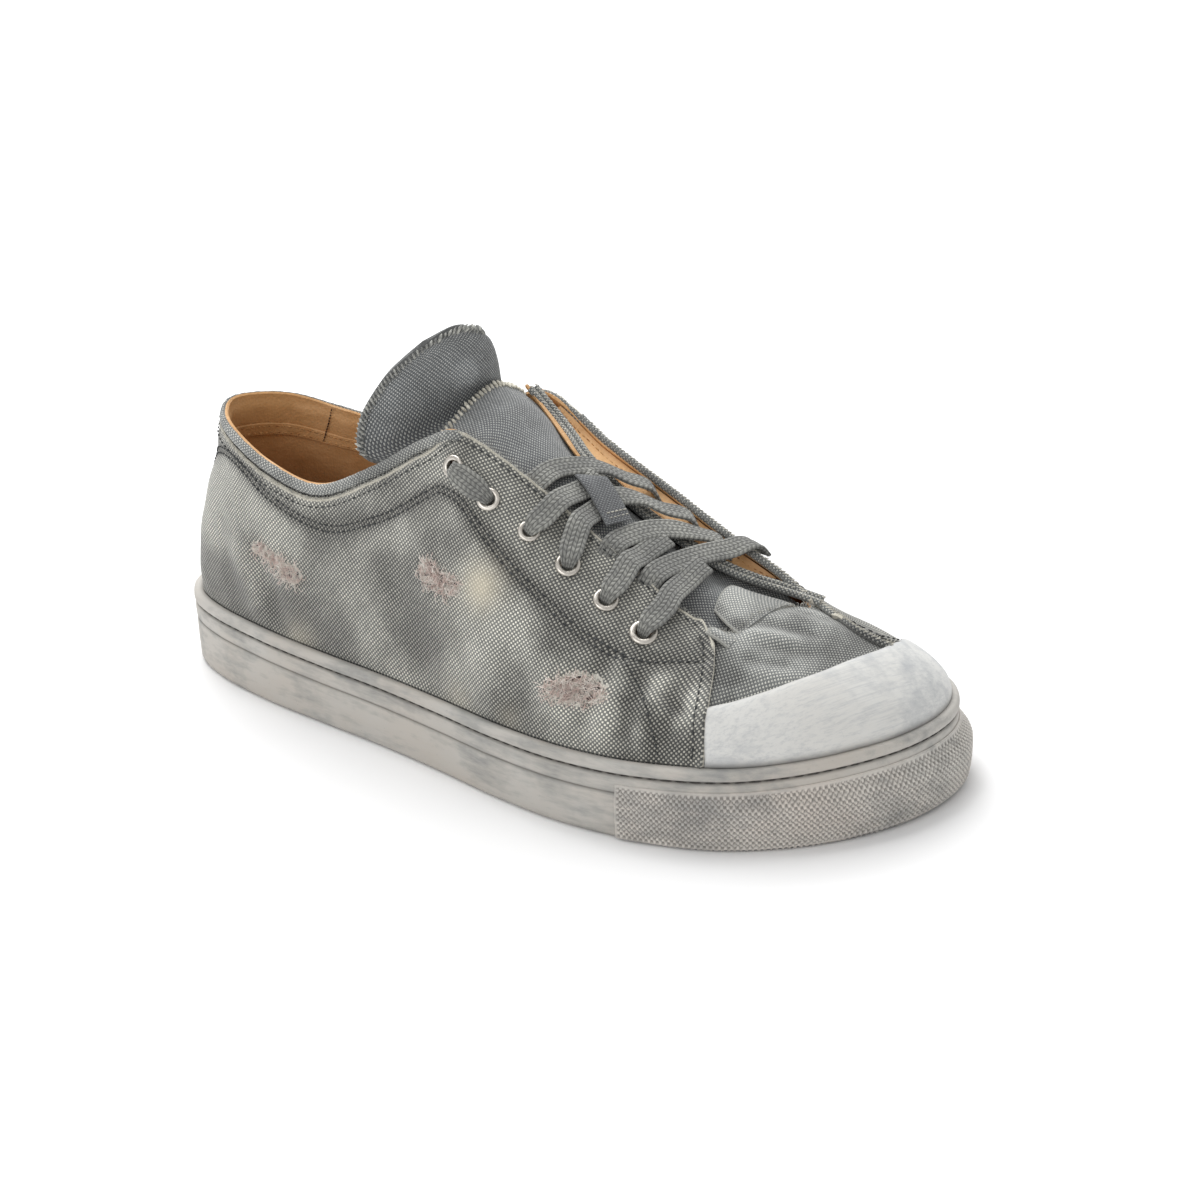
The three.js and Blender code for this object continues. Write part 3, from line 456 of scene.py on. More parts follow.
def slab(outside, inside, uv, closed=False):
    """A sheet with thickness between two grids of points, rows by columns. Its rims are rounded by a
    line of points half way. Returns points, faces, uv and 0 for the outside, 1 inside, 2 the rims."""
    n, m = outside.shape[:2]
    points = [outside.reshape(-1, 3), inside.reshape(-1, 3)]
    maps = [uv.reshape(-1, 2), uv.reshape(-1, 2)]
    faces = [grid_faces(n, m, 0, closed), grid_faces(n, m, n * m, closed, True)]
    kinds = [np.zeros(len(faces[0])), np.ones(len(faces[1]))]
    count = 2 * n * m

    def rim(index, inner_index, wrap, flip):
        nonlocal count
        o, i = outside.reshape(-1, 3)[index], inside.reshape(-1, 3)[index]
        deep = outside.reshape(-1, 3)[inner_index]
        thick = np.linalg.norm(o - i, axis=1, keepdims=True)
        middle = (o + i) / 2 + unit(o - deep) * thick * 0.42
        points.append(middle)
        maps.append(uv.reshape(-1, 2)[index])
        k = np.arange(len(index) if wrap else len(index) - 1)
        l = (k + 1) % len(index)
        mid = count + np.arange(len(index))
        a = np.stack([index[k], index[l], mid[l], mid[k]], 1)
        b = np.stack([mid[k], mid[l], index[l] + n * m, index[k] + n * m], 1)
        both = np.concatenate([a, b])
        faces.append(both[:, ::-1] if flip else both)
        kinds.append(np.full(len(both), 2))
        count += len(index)
        return mid

    rows = np.arange(n)
    low = rim(rows * m, rows * m + 1, closed, False)
    high = rim(rows * m + m - 1, rows * m + m - 2, closed, True)
    if not closed:
        columns = np.arange(m)
        start = rim(columns, columns + m, False, True)
        end = rim((n - 1) * m + columns, (n - 2) * m + columns, False, False)
        corners = [(0, start[0], low[0]), (m - 1, high[0], start[-1]),
                   ((n - 1) * m, low[-1], end[0]), (n * m - 1, end[-1], high[-1])]
        extra = [(c, a, c + n * m, b) for c, a, b in corners]
        faces.append(np.array(extra))
        kinds.append(np.full(4, 2))
    return np.concatenate(points), np.concatenate(faces), np.concatenate(maps), np.concatenate(kinds)


def tube(line, normals, profile):
    """A profile (points across, out) swept along a line whose outward way is given."""
    along = unit(np.gradient(line, axis=0))
    side = unit(np.cross(along, normals))
    face = np.cross(side, along)
    prof = np.asarray(profile, float)
    points = line[:, None] + side[:, None] * prof[None, :, :1] + face[:, None] * prof[None, :, 1:2]
    n, m = points.shape[:2]
    uv = np.stack(np.broadcast_arrays(run_along(line)[:, None], run_along(prof)[None, :]), -1)
    i, j = np.arange(n - 1), np.arange(m)
    a = (i[:, None] * m + j).ravel()
    b = (i[:, None] * m + (j + 1) % m).ravel()
    faces = [list(f) for f in np.stack([a, b, b + m, a + m], 1)]
    faces.append(list(range(m))[::-1])
    faces.append([(n - 1) * m + k for k in range(m)])
    return points.reshape(-1, 3), faces, uv.reshape(-1, 2)


def joined(parts):
    """Several (points, faces, uv) as one."""
    points, faces, maps, count = [], [], [], 0
    for p, f, uv in parts:
        points.append(p)
        maps.append(uv)
        faces += [[int(i) + count for i in face] for face in f]
        count += len(p)
    return np.concatenate(points), faces, np.concatenate(maps)


def sheet_piece(name, outside, inside, uv, material, sharp=38):
    """A closed sheet of one material as a piece, and how many points it has."""
    points, faces, maps, _ = slab(outside, inside, uv)
    return make_object(name, points, faces, [material], maps, sharp=sharp), len(points)


def settle(piece, slot, *nodes):
    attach(piece, BODY)
    if nodes:
        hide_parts(*nodes)
    return piece


# ---- shader building ----
class Net:
    """A short way to add and join nodes in a tree."""

    def __init__(self, tree):
        self.tree = tree

    def put(self, socket, value):
        if isinstance(value, bpy.types.NodeSocket):
            self.tree.links.new(value, socket)
        else:
            socket.default_value = value

    def node(self, kind, inputs=None, **settings):
        made = self.tree.nodes.new(kind)
        for key, value in settings.items():
            setattr(made, key, value)
        for key, value in (inputs or {}).items():
            self.put(made.inputs[key], value)
        return made

    def math(self, operation, a, b=0.0, c=0.0):
        return self.node("ShaderNodeMath", {0: a, 1: b, 2: c}, operation=operation).outputs[0]

    def times(self, a, b):
        return self.math("MULTIPLY", a, b)

    def plus(self, a, b):
        return self.math("ADD", a, b)

    def minus(self, a, b):
        return self.math("SUBTRACT", a, b)

    def vector(self, operation, a, b=(0, 0, 0)):
        return self.node("ShaderNodeVectorMath", {0: a, 1: b}, operation=operation).outputs[0]

    def mix(self, factor, a, b):
        made = self.node("ShaderNodeMix", data_type="RGBA")
        self.put(made.inputs[0], factor)
        self.put(made.inputs[6], a)
        self.put(made.inputs[7], b)
        return made.outputs[2]

    def span(self, value, low, high, to_low=0.0, to_high=1.0):
        made = self.node("ShaderNodeMapRange", {0: value, 1: low, 2: high, 3: to_low, 4: to_high})
        made.interpolation_type = "SMOOTHSTEP"
        return made.outputs[0]

    def noise(self, where, scale, detail=3.0, rough=0.55):
        inputs = {"Vector": where, "Scale": scale, "Detail": detail, "Roughness": rough}
        return self.node("ShaderNodeTexNoise", inputs).outputs["Fac"]

    def group(self, tree, inputs):
        made = self.node("ShaderNodeGroup")
        made.node_tree = tree
        for key, value in inputs.items():
            self.put(made.inputs[key], value)
        return made

    def attribute(self, name):
        return self.node("ShaderNodeAttribute", attribute_name=name).outputs["Fac"]


def rgb(red, green, blue):
    """A colour from the usual 0 to 255 values, made linear."""
    def linear(c):
        c = c / 255
        return c / 12.92 if c <= 0.04045 else ((c + 0.055) / 1.055) ** 2.4
    return (linear(red), linear(green), linear(blue), 1.0)


def new_group(name, inputs, outputs):
    tree = bpy.data.node_groups.new(name, "ShaderNodeTree")
    kinds = {"f": "NodeSocketFloat", "v": "NodeSocketVector", "c": "NodeSocketColor"}
    for label, kind, value in inputs:
        made = tree.interface.new_socket(name=label, in_out="INPUT", socket_type=kinds[kind])
        if value is not None:
            made.default_value = value
    for label, kind in outputs:
        tree.interface.new_socket(name=label, in_out="OUTPUT", socket_type=kinds[kind])
    net = Net(tree)
    given = net.node("NodeGroupInput").outputs
    given_back = net.node("NodeGroupOutput").inputs
    return tree, net, given, given_back


def weave_group():
    """Plain canvas weave: where the light thread lies on top, its height, and each thread's own tone."""
    inputs = [("Where", "v", None), ("Pitch", "f", 1.3), ("Unevenness", "f", 0.25)]
    tree, net, given, back = new_group("weave", inputs, [("Thread", "f"), ("Height", "f"), ("Tone", "f")])
    size = net.math("DIVIDE", UV_UNIT, given["Pitch"])
    grid = net.node("ShaderNodeVectorMath", {0: given["Where"]}, operation="SCALE")
    net.put(grid.inputs["Scale"], size)
    wander = net.node("ShaderNodeTexNoise", {"Vector": grid.outputs[0], "Scale": 0.35, "Detail": 2.0})
    spread = net.vector("SUBTRACT", wander.outputs["Color"], (0.5, 0.5, 0.5))
    push = net.node("ShaderNodeVectorMath", {0: spread}, operation="SCALE")
    net.put(push.inputs["Scale"], given["Unevenness"])
    spot = net.vector("ADD", grid.outputs[0], push.outputs[0])
    axes = net.node("ShaderNodeSeparateXYZ", {0: spot})
    waves = [net.math("SINE", net.times(axes.outputs[k], math.pi)) for k in (0, 1)]
    cross = net.times(*waves)
    thread = net.span(cross, 0.08, 0.5)
    ribs = [net.math("ABSOLUTE", wave) for wave in waves]
    height = net.plus(net.times(thread, 0.65), net.times(ribs[0], 0.35))
    cells = net.node("ShaderNodeVectorMath", {0: spot}, operation="FLOOR")
    tone = net.node("ShaderNodeTexWhiteNoise", {"Vector": cells.outputs[0]}, noise_dimensions="2D")
    net.put(back["Thread"], thread)
    net.put(back["Height"], height)
    net.put(back["Tone"], tone.outputs["Value"])
    return tree


def grime_group():
    """Rubbed-in dirt: broad cloudy patches broken up by fine brushed streaks along X."""
    inputs = [("Where", "v", None), ("Patch size", "f", 30.0), ("Amount", "f", 0.5), ("Streak", "f", 0.5)]
    tree, net, given, back = new_group("grime", inputs, [("Mask", "f"), ("Fine", "f")])
    scale = net.math("DIVIDE", 1000.0, given["Patch size"])
    cloud = net.noise(given["Where"], scale, 4.0, 0.6)
    long = net.node("ShaderNodeMapping", {"Vector": given["Where"], "Scale": (0.25, 1.0, 1.6)})
    streaks = net.noise(long.outputs[0], net.times(scale, 6.0), 5.0, 0.7)
    both = net.plus(cloud, net.times(net.minus(streaks, 0.5), given["Streak"]))
    edge = net.minus(0.78, net.times(given["Amount"], 0.45))
    low = net.minus(edge, 0.13)
    made = net.node("ShaderNodeMapRange", {0: both, 1: low, 2: net.plus(edge, 0.13)})
    net.put(back["Mask"], made.outputs[0])
    net.put(back["Fine"], streaks)
    return tree


def grain_group():
    """Leather grain: small rounded cells with creases between them."""
    inputs = [("Where", "v", None), ("Cell", "f", 1.2)]
    tree, net, given, back = new_group("leather_grain", inputs, [("Height", "f")])
    scale = net.math("DIVIDE", 1000.0, given["Cell"])
    cells = net.node("ShaderNodeTexVoronoi", {"Vector": given["Where"], "Scale": scale})
    soft = net.noise(given["Where"], net.times(scale, 0.12), 4.0)
    net.put(back["Height"], net.plus(cells.outputs["Distance"], soft))
    return tree


WEAVE = weave_group()
GRIME = grime_group()
GRAIN = grain_group()


def new_material(name, roughness, metallic=0.0):
    made = bpy.data.materials.new(name)
    made.use_nodes = True
    made.node_tree.nodes.clear()
    net = Net(made.node_tree)
    body = net.node("ShaderNodeBsdfPrincipled", {"Metallic": metallic})
    net.put(body.inputs["Roughness"], roughness)
    net.node("ShaderNodeOutputMaterial", {"Surface": body.outputs[0]})
    places = net.node("ShaderNodeTexCoord").outputs
    return made, net, body, places


def bumped(net, body, height, strength, distance):
    made = net.node("ShaderNodeBump", {"Height": height, "Strength": strength, "Distance": distance})
    net.put(body.inputs["Normal"], made.outputs[0])


def canvas_material(name, dark, light, pitch=0.7, wash_and_shade=1.3, bump=0.6, edge=rgb(204, 199, 184)):
    """Canvas of a light thread over a dark one, washed out and dirtied, and given painted light and shade,
    where the masks say.
    """
    made, net, body, places = new_material(name, 0.93)
    weave = net.group(WEAVE, {"Where": places["UV"], "Pitch": pitch, "Unevenness": 0.3}).outputs
    fine = net.noise(places["Object"], 210.0, 4.0, 0.65)
    broad = net.noise(places["Object"], 46.0, 4.0, 0.6)
    # wash_and_shade holds wear together with painted highlight and shadow; the canvas is lifted or darkened
    # by it
    wear_and_shade = net.plus(net.attribute("wash_and_shade"), net.times(net.minus(broad, 0.5), 1.5))
    wear_and_shade = net.plus(wear_and_shade, net.times(net.minus(fine, 0.5), 0.7))
    wear_and_shade = net.times(wear_and_shade, wash_and_shade)
    lift = net.span(wear_and_shade, -0.85, 1.05)
    thread = net.times(weave["Thread"], net.span(weave["Tone"], 0.0, 1.0, 0.72, 1.0))
    ground = net.mix(lift, tuple(0.55 * c for c in dark[:3]) + (1,), tuple(2.5 * c for c in dark[:3]) + (1,))
    float_thread = net.mix(lift, tuple(0.42 * c for c in light[:3]) + (1,), light)
    colour = net.mix(thread, ground, float_thread)
    colour = net.mix(net.times(net.attribute("stain"), 0.6), colour, rgb(220, 209, 184))
    frayed = net.span(net.plus(net.attribute("edge"), net.times(fine, 0.5)), 0.6, 1.05)
    colour = net.mix(net.times(frayed, 0.9), colour, edge)
    raw = net.noise(places["Object"], 900.0, 4.0, 0.7)
    clumps = net.noise(places["Object"], 420.0, 3.0)
    ragged = net.times(net.minus(clumps, 0.5), 1.8)
    near_tear = net.span(net.attribute("torn"), 0.0, 0.3)
    rubbed = net.plus(net.attribute("torn"), net.times(ragged, near_tear))
    halo = net.times(net.span(rubbed, 0.15, 0.5), net.span(raw, 0.33, 0.5))
    colour = net.mix(net.times(halo, 0.8), colour, rgb(214, 210, 200))
    flesh = net.mix(net.span(raw, 0.45, 0.56), rgb(98, 68, 64), rgb(234, 228, 220))
    flesh = net.mix(net.span(fine, 0.52, 0.6), flesh, rgb(198, 164, 152))
    flesh = net.mix(net.span(clumps, 0.52, 0.58), flesh, rgb(48, 42, 41))
    hole = net.span(rubbed, 0.86, 1.06)
    colour = net.mix(hole, colour, flesh)
    net.put(body.inputs["Base Color"], colour)
    height = net.plus(weave["Height"], net.times(raw, 0.35))
    height = net.plus(height, net.times(net.times(hole, raw), 2.0))
    bumped(net, body, height, bump, 0.0007)
    body.inputs["Sheen Weight"].default_value = 0.25
    body.inputs["Sheen Roughness"].default_value = 0.6
    return made


def leather_material(name, tan, worn, deep):
    made, net, body, places = new_material(name, 0.55)
    grain = net.group(GRAIN, {"Where": places["Object"], "Cell": 1.0}).outputs["Height"]
    patches = net.group(GRIME, {"Where": places["Object"], "Patch size": 34.0, "Amount": 0.62,
                                "Streak": 0.5}).outputs
    heights = net.node("ShaderNodeSeparateXYZ", {0: places["Object"]}).outputs[2]
    low = net.span(heights, 0.078, 0.05)
    colour = net.mix(patches["Mask"], tan, worn)
    colour = net.mix(net.times(low, 0.6), colour, deep)
    net.put(body.inputs["Base Color"], colour)
    net.put(body.inputs["Roughness"], net.span(grain, 0.2, 1.4, 0.42, 0.68))
    bumped(net, body, grain, 0.25, 0.0006)
    return made


def rubber_material(name, pale, smudge, tint, roughness=0.62, amount=0.5, texture=False, brushed=0.0):
    """Worn rubber: rubbed-in smudges, a warm tint in places, and dirt held in its hollows."""
    made, net, body, places = new_material(name, roughness)
    dirt = net.group(GRIME, {"Where": places["Object"], "Patch size": 34.0, "Amount": amount,
                             "Streak": 0.7}).outputs
    warm = net.group(GRIME, {"Where": net.vector("ADD", places["Object"], (0.3, 0.1, 0.2)),
                             "Patch size": 48.0, "Amount": 0.6, "Streak": 0.3}).outputs
    colour = net.mix(net.times(warm["Mask"], 0.6), pale, tint)
    colour = net.mix(net.times(dirt["Mask"], 0.75), colour, smudge)
    specks = net.noise(places["Object"], 700.0, 3.0, 0.7)
    colour = net.mix(net.span(specks, 0.64, 0.76, 0.0, 0.35), colour, smudge)
    if brushed:
        turned = net.node("ShaderNodeMapping", {"Vector": places["Object"], "Rotation": (0.0, 0.0, -1.13)})
        long = net.node("ShaderNodeMapping", {"Vector": turned.outputs[0], "Scale": (0.04, 1.0, 1.0)})
        strokes = net.noise(long.outputs[0], 1000.0, 5.0, 0.75)
        colour = net.mix(net.span(strokes, 0.44, 0.68, 0.0, brushed), colour, smudge)
    hollow = net.attribute("hollow")
    colour = net.mix(net.times(hollow, 0.8), colour, rgb(92, 89, 84))
    net.put(body.inputs["Base Color"], colour)
    net.put(body.inputs["Roughness"], net.span(dirt["Fine"], 0.3, 0.7, roughness - 0.08, roughness + 0.1))
    fine = net.noise(places["Object"], 1400.0 if texture else 420.0, 4.0, 0.6)
    bumped(net, body, fine, 0.12, 0.0005)
    return made


def lace_material():
    """Flat braid: slanted floats meeting along the middle, with a plain tight rib at each edge."""
    made, net, body, places = new_material("lace_braid", 0.85)
    axes = net.node("ShaderNodeSeparateXYZ", {0: places["UV"]}).outputs
    along = net.times(axes[0], UV_UNIT)
    across = net.times(axes[1], UV_UNIT)
    folded = net.math("PINGPONG", across, 1.35)
    slant = net.plus(net.times(along, 2 * math.pi / 1.9), net.times(folded, 2.4))
    floats = net.math("MULTIPLY_ADD", net.math("SINE", slant), 0.5, 0.5)
    lines = net.math("ABSOLUTE", net.math("SINE", net.times(across, math.pi / 1.35)))
    lines = net.span(lines, 0.0, 0.55)
    height = net.times(net.plus(floats, 0.4), lines)
    worn = net.group(GRIME, {"Where": places["Object"], "Patch size": 16.0, "Amount": 0.5,
                             "Streak": 0.4}).outputs["Mask"]
    base = net.mix(worn, rgb(128, 128, 124), rgb(164, 164, 157))
    # painted shade: the braid darker in its low grooves between floats and along the ribs' lines
    colour = net.mix(net.span(height, 0.1, 1.0, 0.8, 0.0), base, rgb(66, 67, 66))
    net.put(body.inputs["Base Color"], colour)
    bumped(net, body, height, 0.7, 0.0006)
    body.inputs["Sheen Weight"].default_value = 0.15
    return made


def thread_material(name, light, dark):
    made, net, body, places = new_material(name, 0.9)
    twist = net.noise(places["Object"], 520.0, 3.0)
    net.put(body.inputs["Base Color"], net.mix(net.span(twist, 0.35, 0.65), dark, light))
    bumped(net, body, net.noise(places["Object"], 2600.0, 2.0), 0.4, 0.0002)
    return made


def nickel_material():
    made, net, body, places = new_material("nickel", 0.3, 1.0)
    tarnish = net.noise(places["Object"], 600.0, 4.0)
    net.put(body.inputs["Base Color"], net.mix(tarnish, rgb(190, 182, 172), rgb(226, 222, 214)))
    net.put(body.inputs["Roughness"], net.span(tarnish, 0.3, 0.7, 0.22, 0.42))
    bumped(net, body, net.noise(places["Object"], 1500.0, 2.0), 0.05, 0.0002)
    return made


CANVAS = canvas_material("canvas", rgb(78, 79, 76), rgb(252, 248, 234), pitch=0.8)
CANVAS_FINE = canvas_material("canvas_binding", rgb(78, 80, 79), rgb(222, 221, 213), pitch=0.72)
VAMP_CANVAS = canvas_material("vamp_canvas", rgb(84, 86, 85), rgb(228, 227, 218), pitch=0.72, wash_and_shade=1.2,
                              edge=rgb(150, 150, 144))
TONGUE_CANVAS = canvas_material("tongue_canvas", rgb(74, 77, 79), rgb(218, 219, 215), pitch=0.72, wash_and_shade=0.9,
                                edge=rgb(86, 87, 86))
WEBBING = canvas_material("webbing", rgb(60, 62, 64), rgb(146, 148, 149), pitch=0.66)
LINING = leather_material("lining_leather", rgb(220, 176, 126), rgb(198, 152, 100), rgb(136, 94, 60))
SOCK = leather_material("sock_leather", rgb(150, 104, 66), rgb(120, 80, 50), rgb(104, 66, 40))
RUBBER = rubber_material("sole_rubber", rgb(182, 179, 173), rgb(128, 130, 129), rgb(180, 172, 162),
                         amount=0.45)
BUMPER_RUBBER = rubber_material("bumper_rubber", rgb(216, 212, 205), rgb(152, 152, 150), rgb(212, 201, 191),
                                amount=0.5, texture=True)
CAP_RUBBER = rubber_material("cap_rubber", rgb(212, 212, 209), rgb(168, 171, 174), rgb(206, 204, 199),
                             roughness=0.55, amount=0.42, brushed=0.45)
LACE = lace_material()
THREAD_DARK = thread_material("dark_thread", rgb(72, 74, 74), rgb(44, 46, 47))
GROOVE_THREAD = thread_material("groove_thread", rgb(84, 81, 77), rgb(56, 54, 52))
THREAD_CREAM = thread_material("cream_thread", rgb(234, 230, 216), rgb(170, 166, 154))
THREAD_PALE = thread_material("pale_thread", rgb(206, 202, 190), rgb(150, 147, 138))
THREAD_GREY = thread_material("grey_thread", rgb(178, 178, 171), rgb(110, 111, 109))
THREAD_BROWN = thread_material("brown_thread", rgb(96, 62, 38), rgb(66, 42, 26))
THREAD_TAN = thread_material("tan_thread", rgb(214, 170, 116), rgb(150, 104, 62))
FRAY = thread_material("frayed_thread", rgb(238, 232, 224), rgb(206, 184, 176))
FRAY_GREY = thread_material("frayed_canvas", rgb(196, 194, 186), rgb(130, 131, 128))
NICKEL = nickel_material()


# ---- small things placed by Geometry Nodes ----
def repeat_tree(name, sizes, make_shape):
    """A tree that puts a shape on every point, its Z along the point's "up" and its X along "along"."""
    tree = bpy.data.node_groups.new(name, "GeometryNodeTree")
    tree.interface.new_socket(name="Points", in_out="INPUT", socket_type="NodeSocketGeometry")
    for label, value in sizes.items():
        made = tree.interface.new_socket(name=label, in_out="INPUT", socket_type="NodeSocketFloat")
        made.default_value = value
    seed = tree.interface.new_socket(name="Seed", in_out="INPUT", socket_type="NodeSocketInt")
    seed.default_value = 1
    tree.interface.new_socket(name="Material", in_out="INPUT", socket_type="NodeSocketMaterial")
    tree.interface.new_socket(name="Geometry", in_out="OUTPUT", socket_type="NodeSocketGeometry")
    net = Net(tree)
    given = net.node("NodeGroupInput").outputs
    shape = make_shape(net, given)
    ways = []
    for label in ("up", "along"):
        read = net.node("GeometryNodeInputNamedAttribute", data_type="FLOAT_VECTOR")
        read.inputs["Name"].default_value = label
        ways.append(read.outputs["Attribute"])
    turn = net.node("FunctionNodeAxesToRotation", primary_axis="Z", secondary_axis="X")
    net.put(turn.inputs["Primary Axis"], ways[0])
    net.put(turn.inputs["Secondary Axis"], ways[1])
    roll = net.node("FunctionNodeRandomValue", data_type="FLOAT_VECTOR")
    loose = net.node("ShaderNodeCombineXYZ", {0: given["Looseness"], 1: given["Looseness"],
                                              2: given["Looseness"]})
    net.put(roll.inputs[1], loose.outputs[0])
    net.put(roll.inputs[0], net.node("ShaderNodeVectorMath", {0: loose.outputs[0], 1: (-1, -1, -1)},
                                     operation="MULTIPLY").outputs[0])
    net.put(roll.inputs["Seed"], given["Seed"])
    spin = net.node("FunctionNodeEulerToRotation", {0: roll.outputs[0]})
    lean = net.node("ShaderNodeCombineXYZ", {2: given["Slant"]})
    leaning = net.node("FunctionNodeEulerToRotation", {0: lean.outputs[0]})
    first = net.node("FunctionNodeRotateRotation", {0: turn.outputs[0], 1: leaning.outputs[0]},
                     rotation_space="LOCAL")
    second = net.node("FunctionNodeRotateRotation", {0: first.outputs[0], 1: spin.outputs[0]},
                      rotation_space="LOCAL")
    size = net.node("FunctionNodeRandomValue", {2: 0.85, 3: 1.12}, data_type="FLOAT")
    net.put(size.inputs["Seed"], given["Seed"])
    each = net.node("GeometryNodeInstanceOnPoints")
    net.put(each.inputs["Points"], given["Points"])
    net.put(each.inputs["Instance"], shape)
    net.put(each.inputs["Rotation"], second.outputs[0])
    net.put(each.inputs["Scale"], size.outputs[1])
    real = net.node("GeometryNodeRealizeInstances", {0: each.outputs[0]})
    finish = net.node("GeometryNodeSetMaterial", {"Geometry": real.outputs[0]})
    net.put(finish.inputs["Material"], given["Material"])
    net.put(net.node("NodeGroupOutput").inputs[0], finish.outputs[0])
    return tree


def bean_shape(net, given):
    """One stitch: a rounded bead, its length along X and its height along Z."""
    ball = net.node("GeometryNodeMeshUVSphere", {"Segments": 6, "Rings": 5, "Radius": 0.0005})
    size = net.node("ShaderNodeCombineXYZ", {0: given["Length"], 1: given["Width"], 2: given["Height"]})
    made = net.node("GeometryNodeTransform", {"Geometry": ball.outputs["Mesh"], "Scale": size.outputs[0]})
    soft = net.node("GeometryNodeSetShadeSmooth", {0: made.outputs[0]})
    return soft.outputs[0]


def strand_shape(net, given):
    """One loose fibre: a thin tube bent over, leaving along X."""
    long = net.times(given["Length"], 0.001)
    high = net.times(given["Height"], 0.001)
    ends = [net.node("ShaderNodeCombineXYZ", {0: net.times(long, a), 1: net.times(long, b),
                                              2: net.times(high, c)}).outputs[0] for a, b,
                                              c in ((0.25, 0.12, 1.0), (0.7, -0.2, 1.1), (1.0, 0.1, 0.25))]
    line = net.node("GeometryNodeCurvePrimitiveBezierSegment", {"Resolution": 4, "Start": (0, 0, 0)})
    for key, value in zip(("Start Handle", "End Handle", "End"), ends):
        net.put(line.inputs[key], value)
    ring = net.node("GeometryNodeCurvePrimitiveCircle", {"Resolution": 3})
    net.put(ring.inputs["Radius"], net.times(given["Width"], 0.0005))
    made = net.node("GeometryNodeCurveToMesh", {"Curve": line.outputs[0], "Fill Caps": True})
    net.put(made.inputs["Profile Curve"], ring.outputs[0])
    return made.outputs[0]


def ring_shape(net, given):
    """One eyelet: a rolled ring over a short barrel that runs down through the canvas."""
    parts = []
    for radius, thick, tall, drop in ((3.2, 1.0, 0.62, 0.45), (2.6, 0.32, 5.0, -1.2)):
        path = net.node("GeometryNodeCurvePrimitiveCircle", {"Resolution": 32, "Radius": radius * 0.001})
        profile = net.node("GeometryNodeCurvePrimitiveCircle", {"Resolution": 10, "Radius": thick * 0.001})
        made = net.node("GeometryNodeCurveToMesh", {"Curve": path.outputs[0]})
        net.put(made.inputs["Profile Curve"], profile.outputs[0])
        placed_ring = net.node("GeometryNodeTransform", {"Geometry": made.outputs[0],
                                                         "Translation": (0, 0, drop * 0.001),
                                                         "Scale": (1, 1, tall)})
        parts.append(placed_ring.outputs[0])
    both = net.node("GeometryNodeJoinGeometry")
    for part in parts:
        net.put(both.inputs[0], part)
    soft = net.node("GeometryNodeSetShadeSmooth", {0: both.outputs[0]})
    sized = net.node("GeometryNodeTransform", {"Geometry": soft.outputs[0]})
    net.put(sized.inputs["Scale"], net.node("ShaderNodeCombineXYZ", {0: given["Width"], 1: given["Width"],
                                                                     2: given["Width"]}).outputs[0])
    return sized.outputs[0]


STITCH = repeat_tree("stitches", {"Length": 2.0, "Width": 0.5, "Height": 0.4, "Slant": 0.0,
                                  "Looseness": 0.06}, bean_shape)
STRAND = repeat_tree("loose_fibres", {"Length": 3.0, "Width": 0.16, "Height": 0.8, "Slant": 0.0,
                                      "Looseness": 0.6}, strand_shape)
RING = repeat_tree("eyelet_rings", {"Width": 1.0, "Slant": 0.0, "Looseness": 0.0}, ring_shape)


def repeat(name, tree, rows, material, seed=1, **sizes):
    """The tree's shape on every point of the rows, each (points, up, along), as one mesh piece."""
    points, ups, alongs = (np.concatenate([np.asarray(row[k], float) for row in rows]) for k in range(3))
    mesh = bpy.data.meshes.new(name)
    mesh.from_pydata(placed(points).tolist(), [], [])
    for label, values in (("up", ups), ("along", alongs)):
        layer = mesh.attributes.new(label, "FLOAT_VECTOR", "POINT")
        layer.data.foreach_set("vector", values.astype(np.float32).ravel())
    piece = add_object(name, mesh)
    modifier = piece.modifiers.new("repeat", "NODES")
    modifier.node_group = tree
    wanted = {"Seed": seed, "Material": material, **sizes}
    for item in tree.interface.items_tree:
        if item.in_out == "INPUT" and item.name in wanted:
            modifier[item.identifier] = wanted[item.name]
    made = finished_mesh(piece)
    made.name = name
    piece.data = made
    bpy.data.meshes.remove(mesh)
    return piece


def sew(name, slot, rows, thread, **sizes):
    """Stitches on every place of the rows, as a settled piece."""
    return settle(repeat(name, STITCH, rows, thread, **sizes), slot)


def fray(name, slot, rows, thread, **sizes):
    """Loose fibres on every place of the rows, as a settled piece."""
    return settle(repeat(name, STRAND, rows, thread, **sizes), slot)


# ---- upper: the lined shell under the panels ----
def eyelet_places():
    """Where each eyelet sits: (side, number, point, way out)."""
    places = []
    for inner, low_u, high_u in ((False, 6.6, 11.5), (True, 19.6, 14.5)):
        for k in range(EYELETS):
            x = EYELET_FIRST_X + EYELET_PITCH * k
            share = (k - 1) / (EYELETS - 2)
            inset = EYELET_INSETS[0] + share * (EYELET_INSETS[1] - EYELET_INSETS[0])
            if k == 0:
                inset = EYELET_CORNER_INSET
            low, high = low_u, high_u
            for _ in range(24):
                middle = (low + high) / 2
                ws = np.linspace(1, 0.3, 141)
                line = skin(np.full(141, middle), ws)
                w = float(np.interp(inset, run_along(line), ws))
                if skin(middle, w)[0] < x:
                    low = middle
                else:
                    high = middle
            places.append((inner, k, skin(middle, w), skin_normal(middle, w)))
    return places


PLACES = eyelet_places()


def below_rim(u, distance):
    """The w that lies a distance down the skin from the opening edge."""
    u = np.asarray(u, float)
    slope = np.linalg.norm(skin(u, 1.0) - skin(u, 0.94), axis=-1) / 0.06
    return 1 - distance / slope


def padding(u, w, base):
    """How far the padded collar swells the panels below their top edge."""
    rim = np.linalg.norm(base - skin(u, np.ones_like(w)), axis=-1)
    return 0.8 * np.exp(-(((rim - 9.5) / 4.5) ** 2)) * smooth(-base[..., 0], 14, 26)


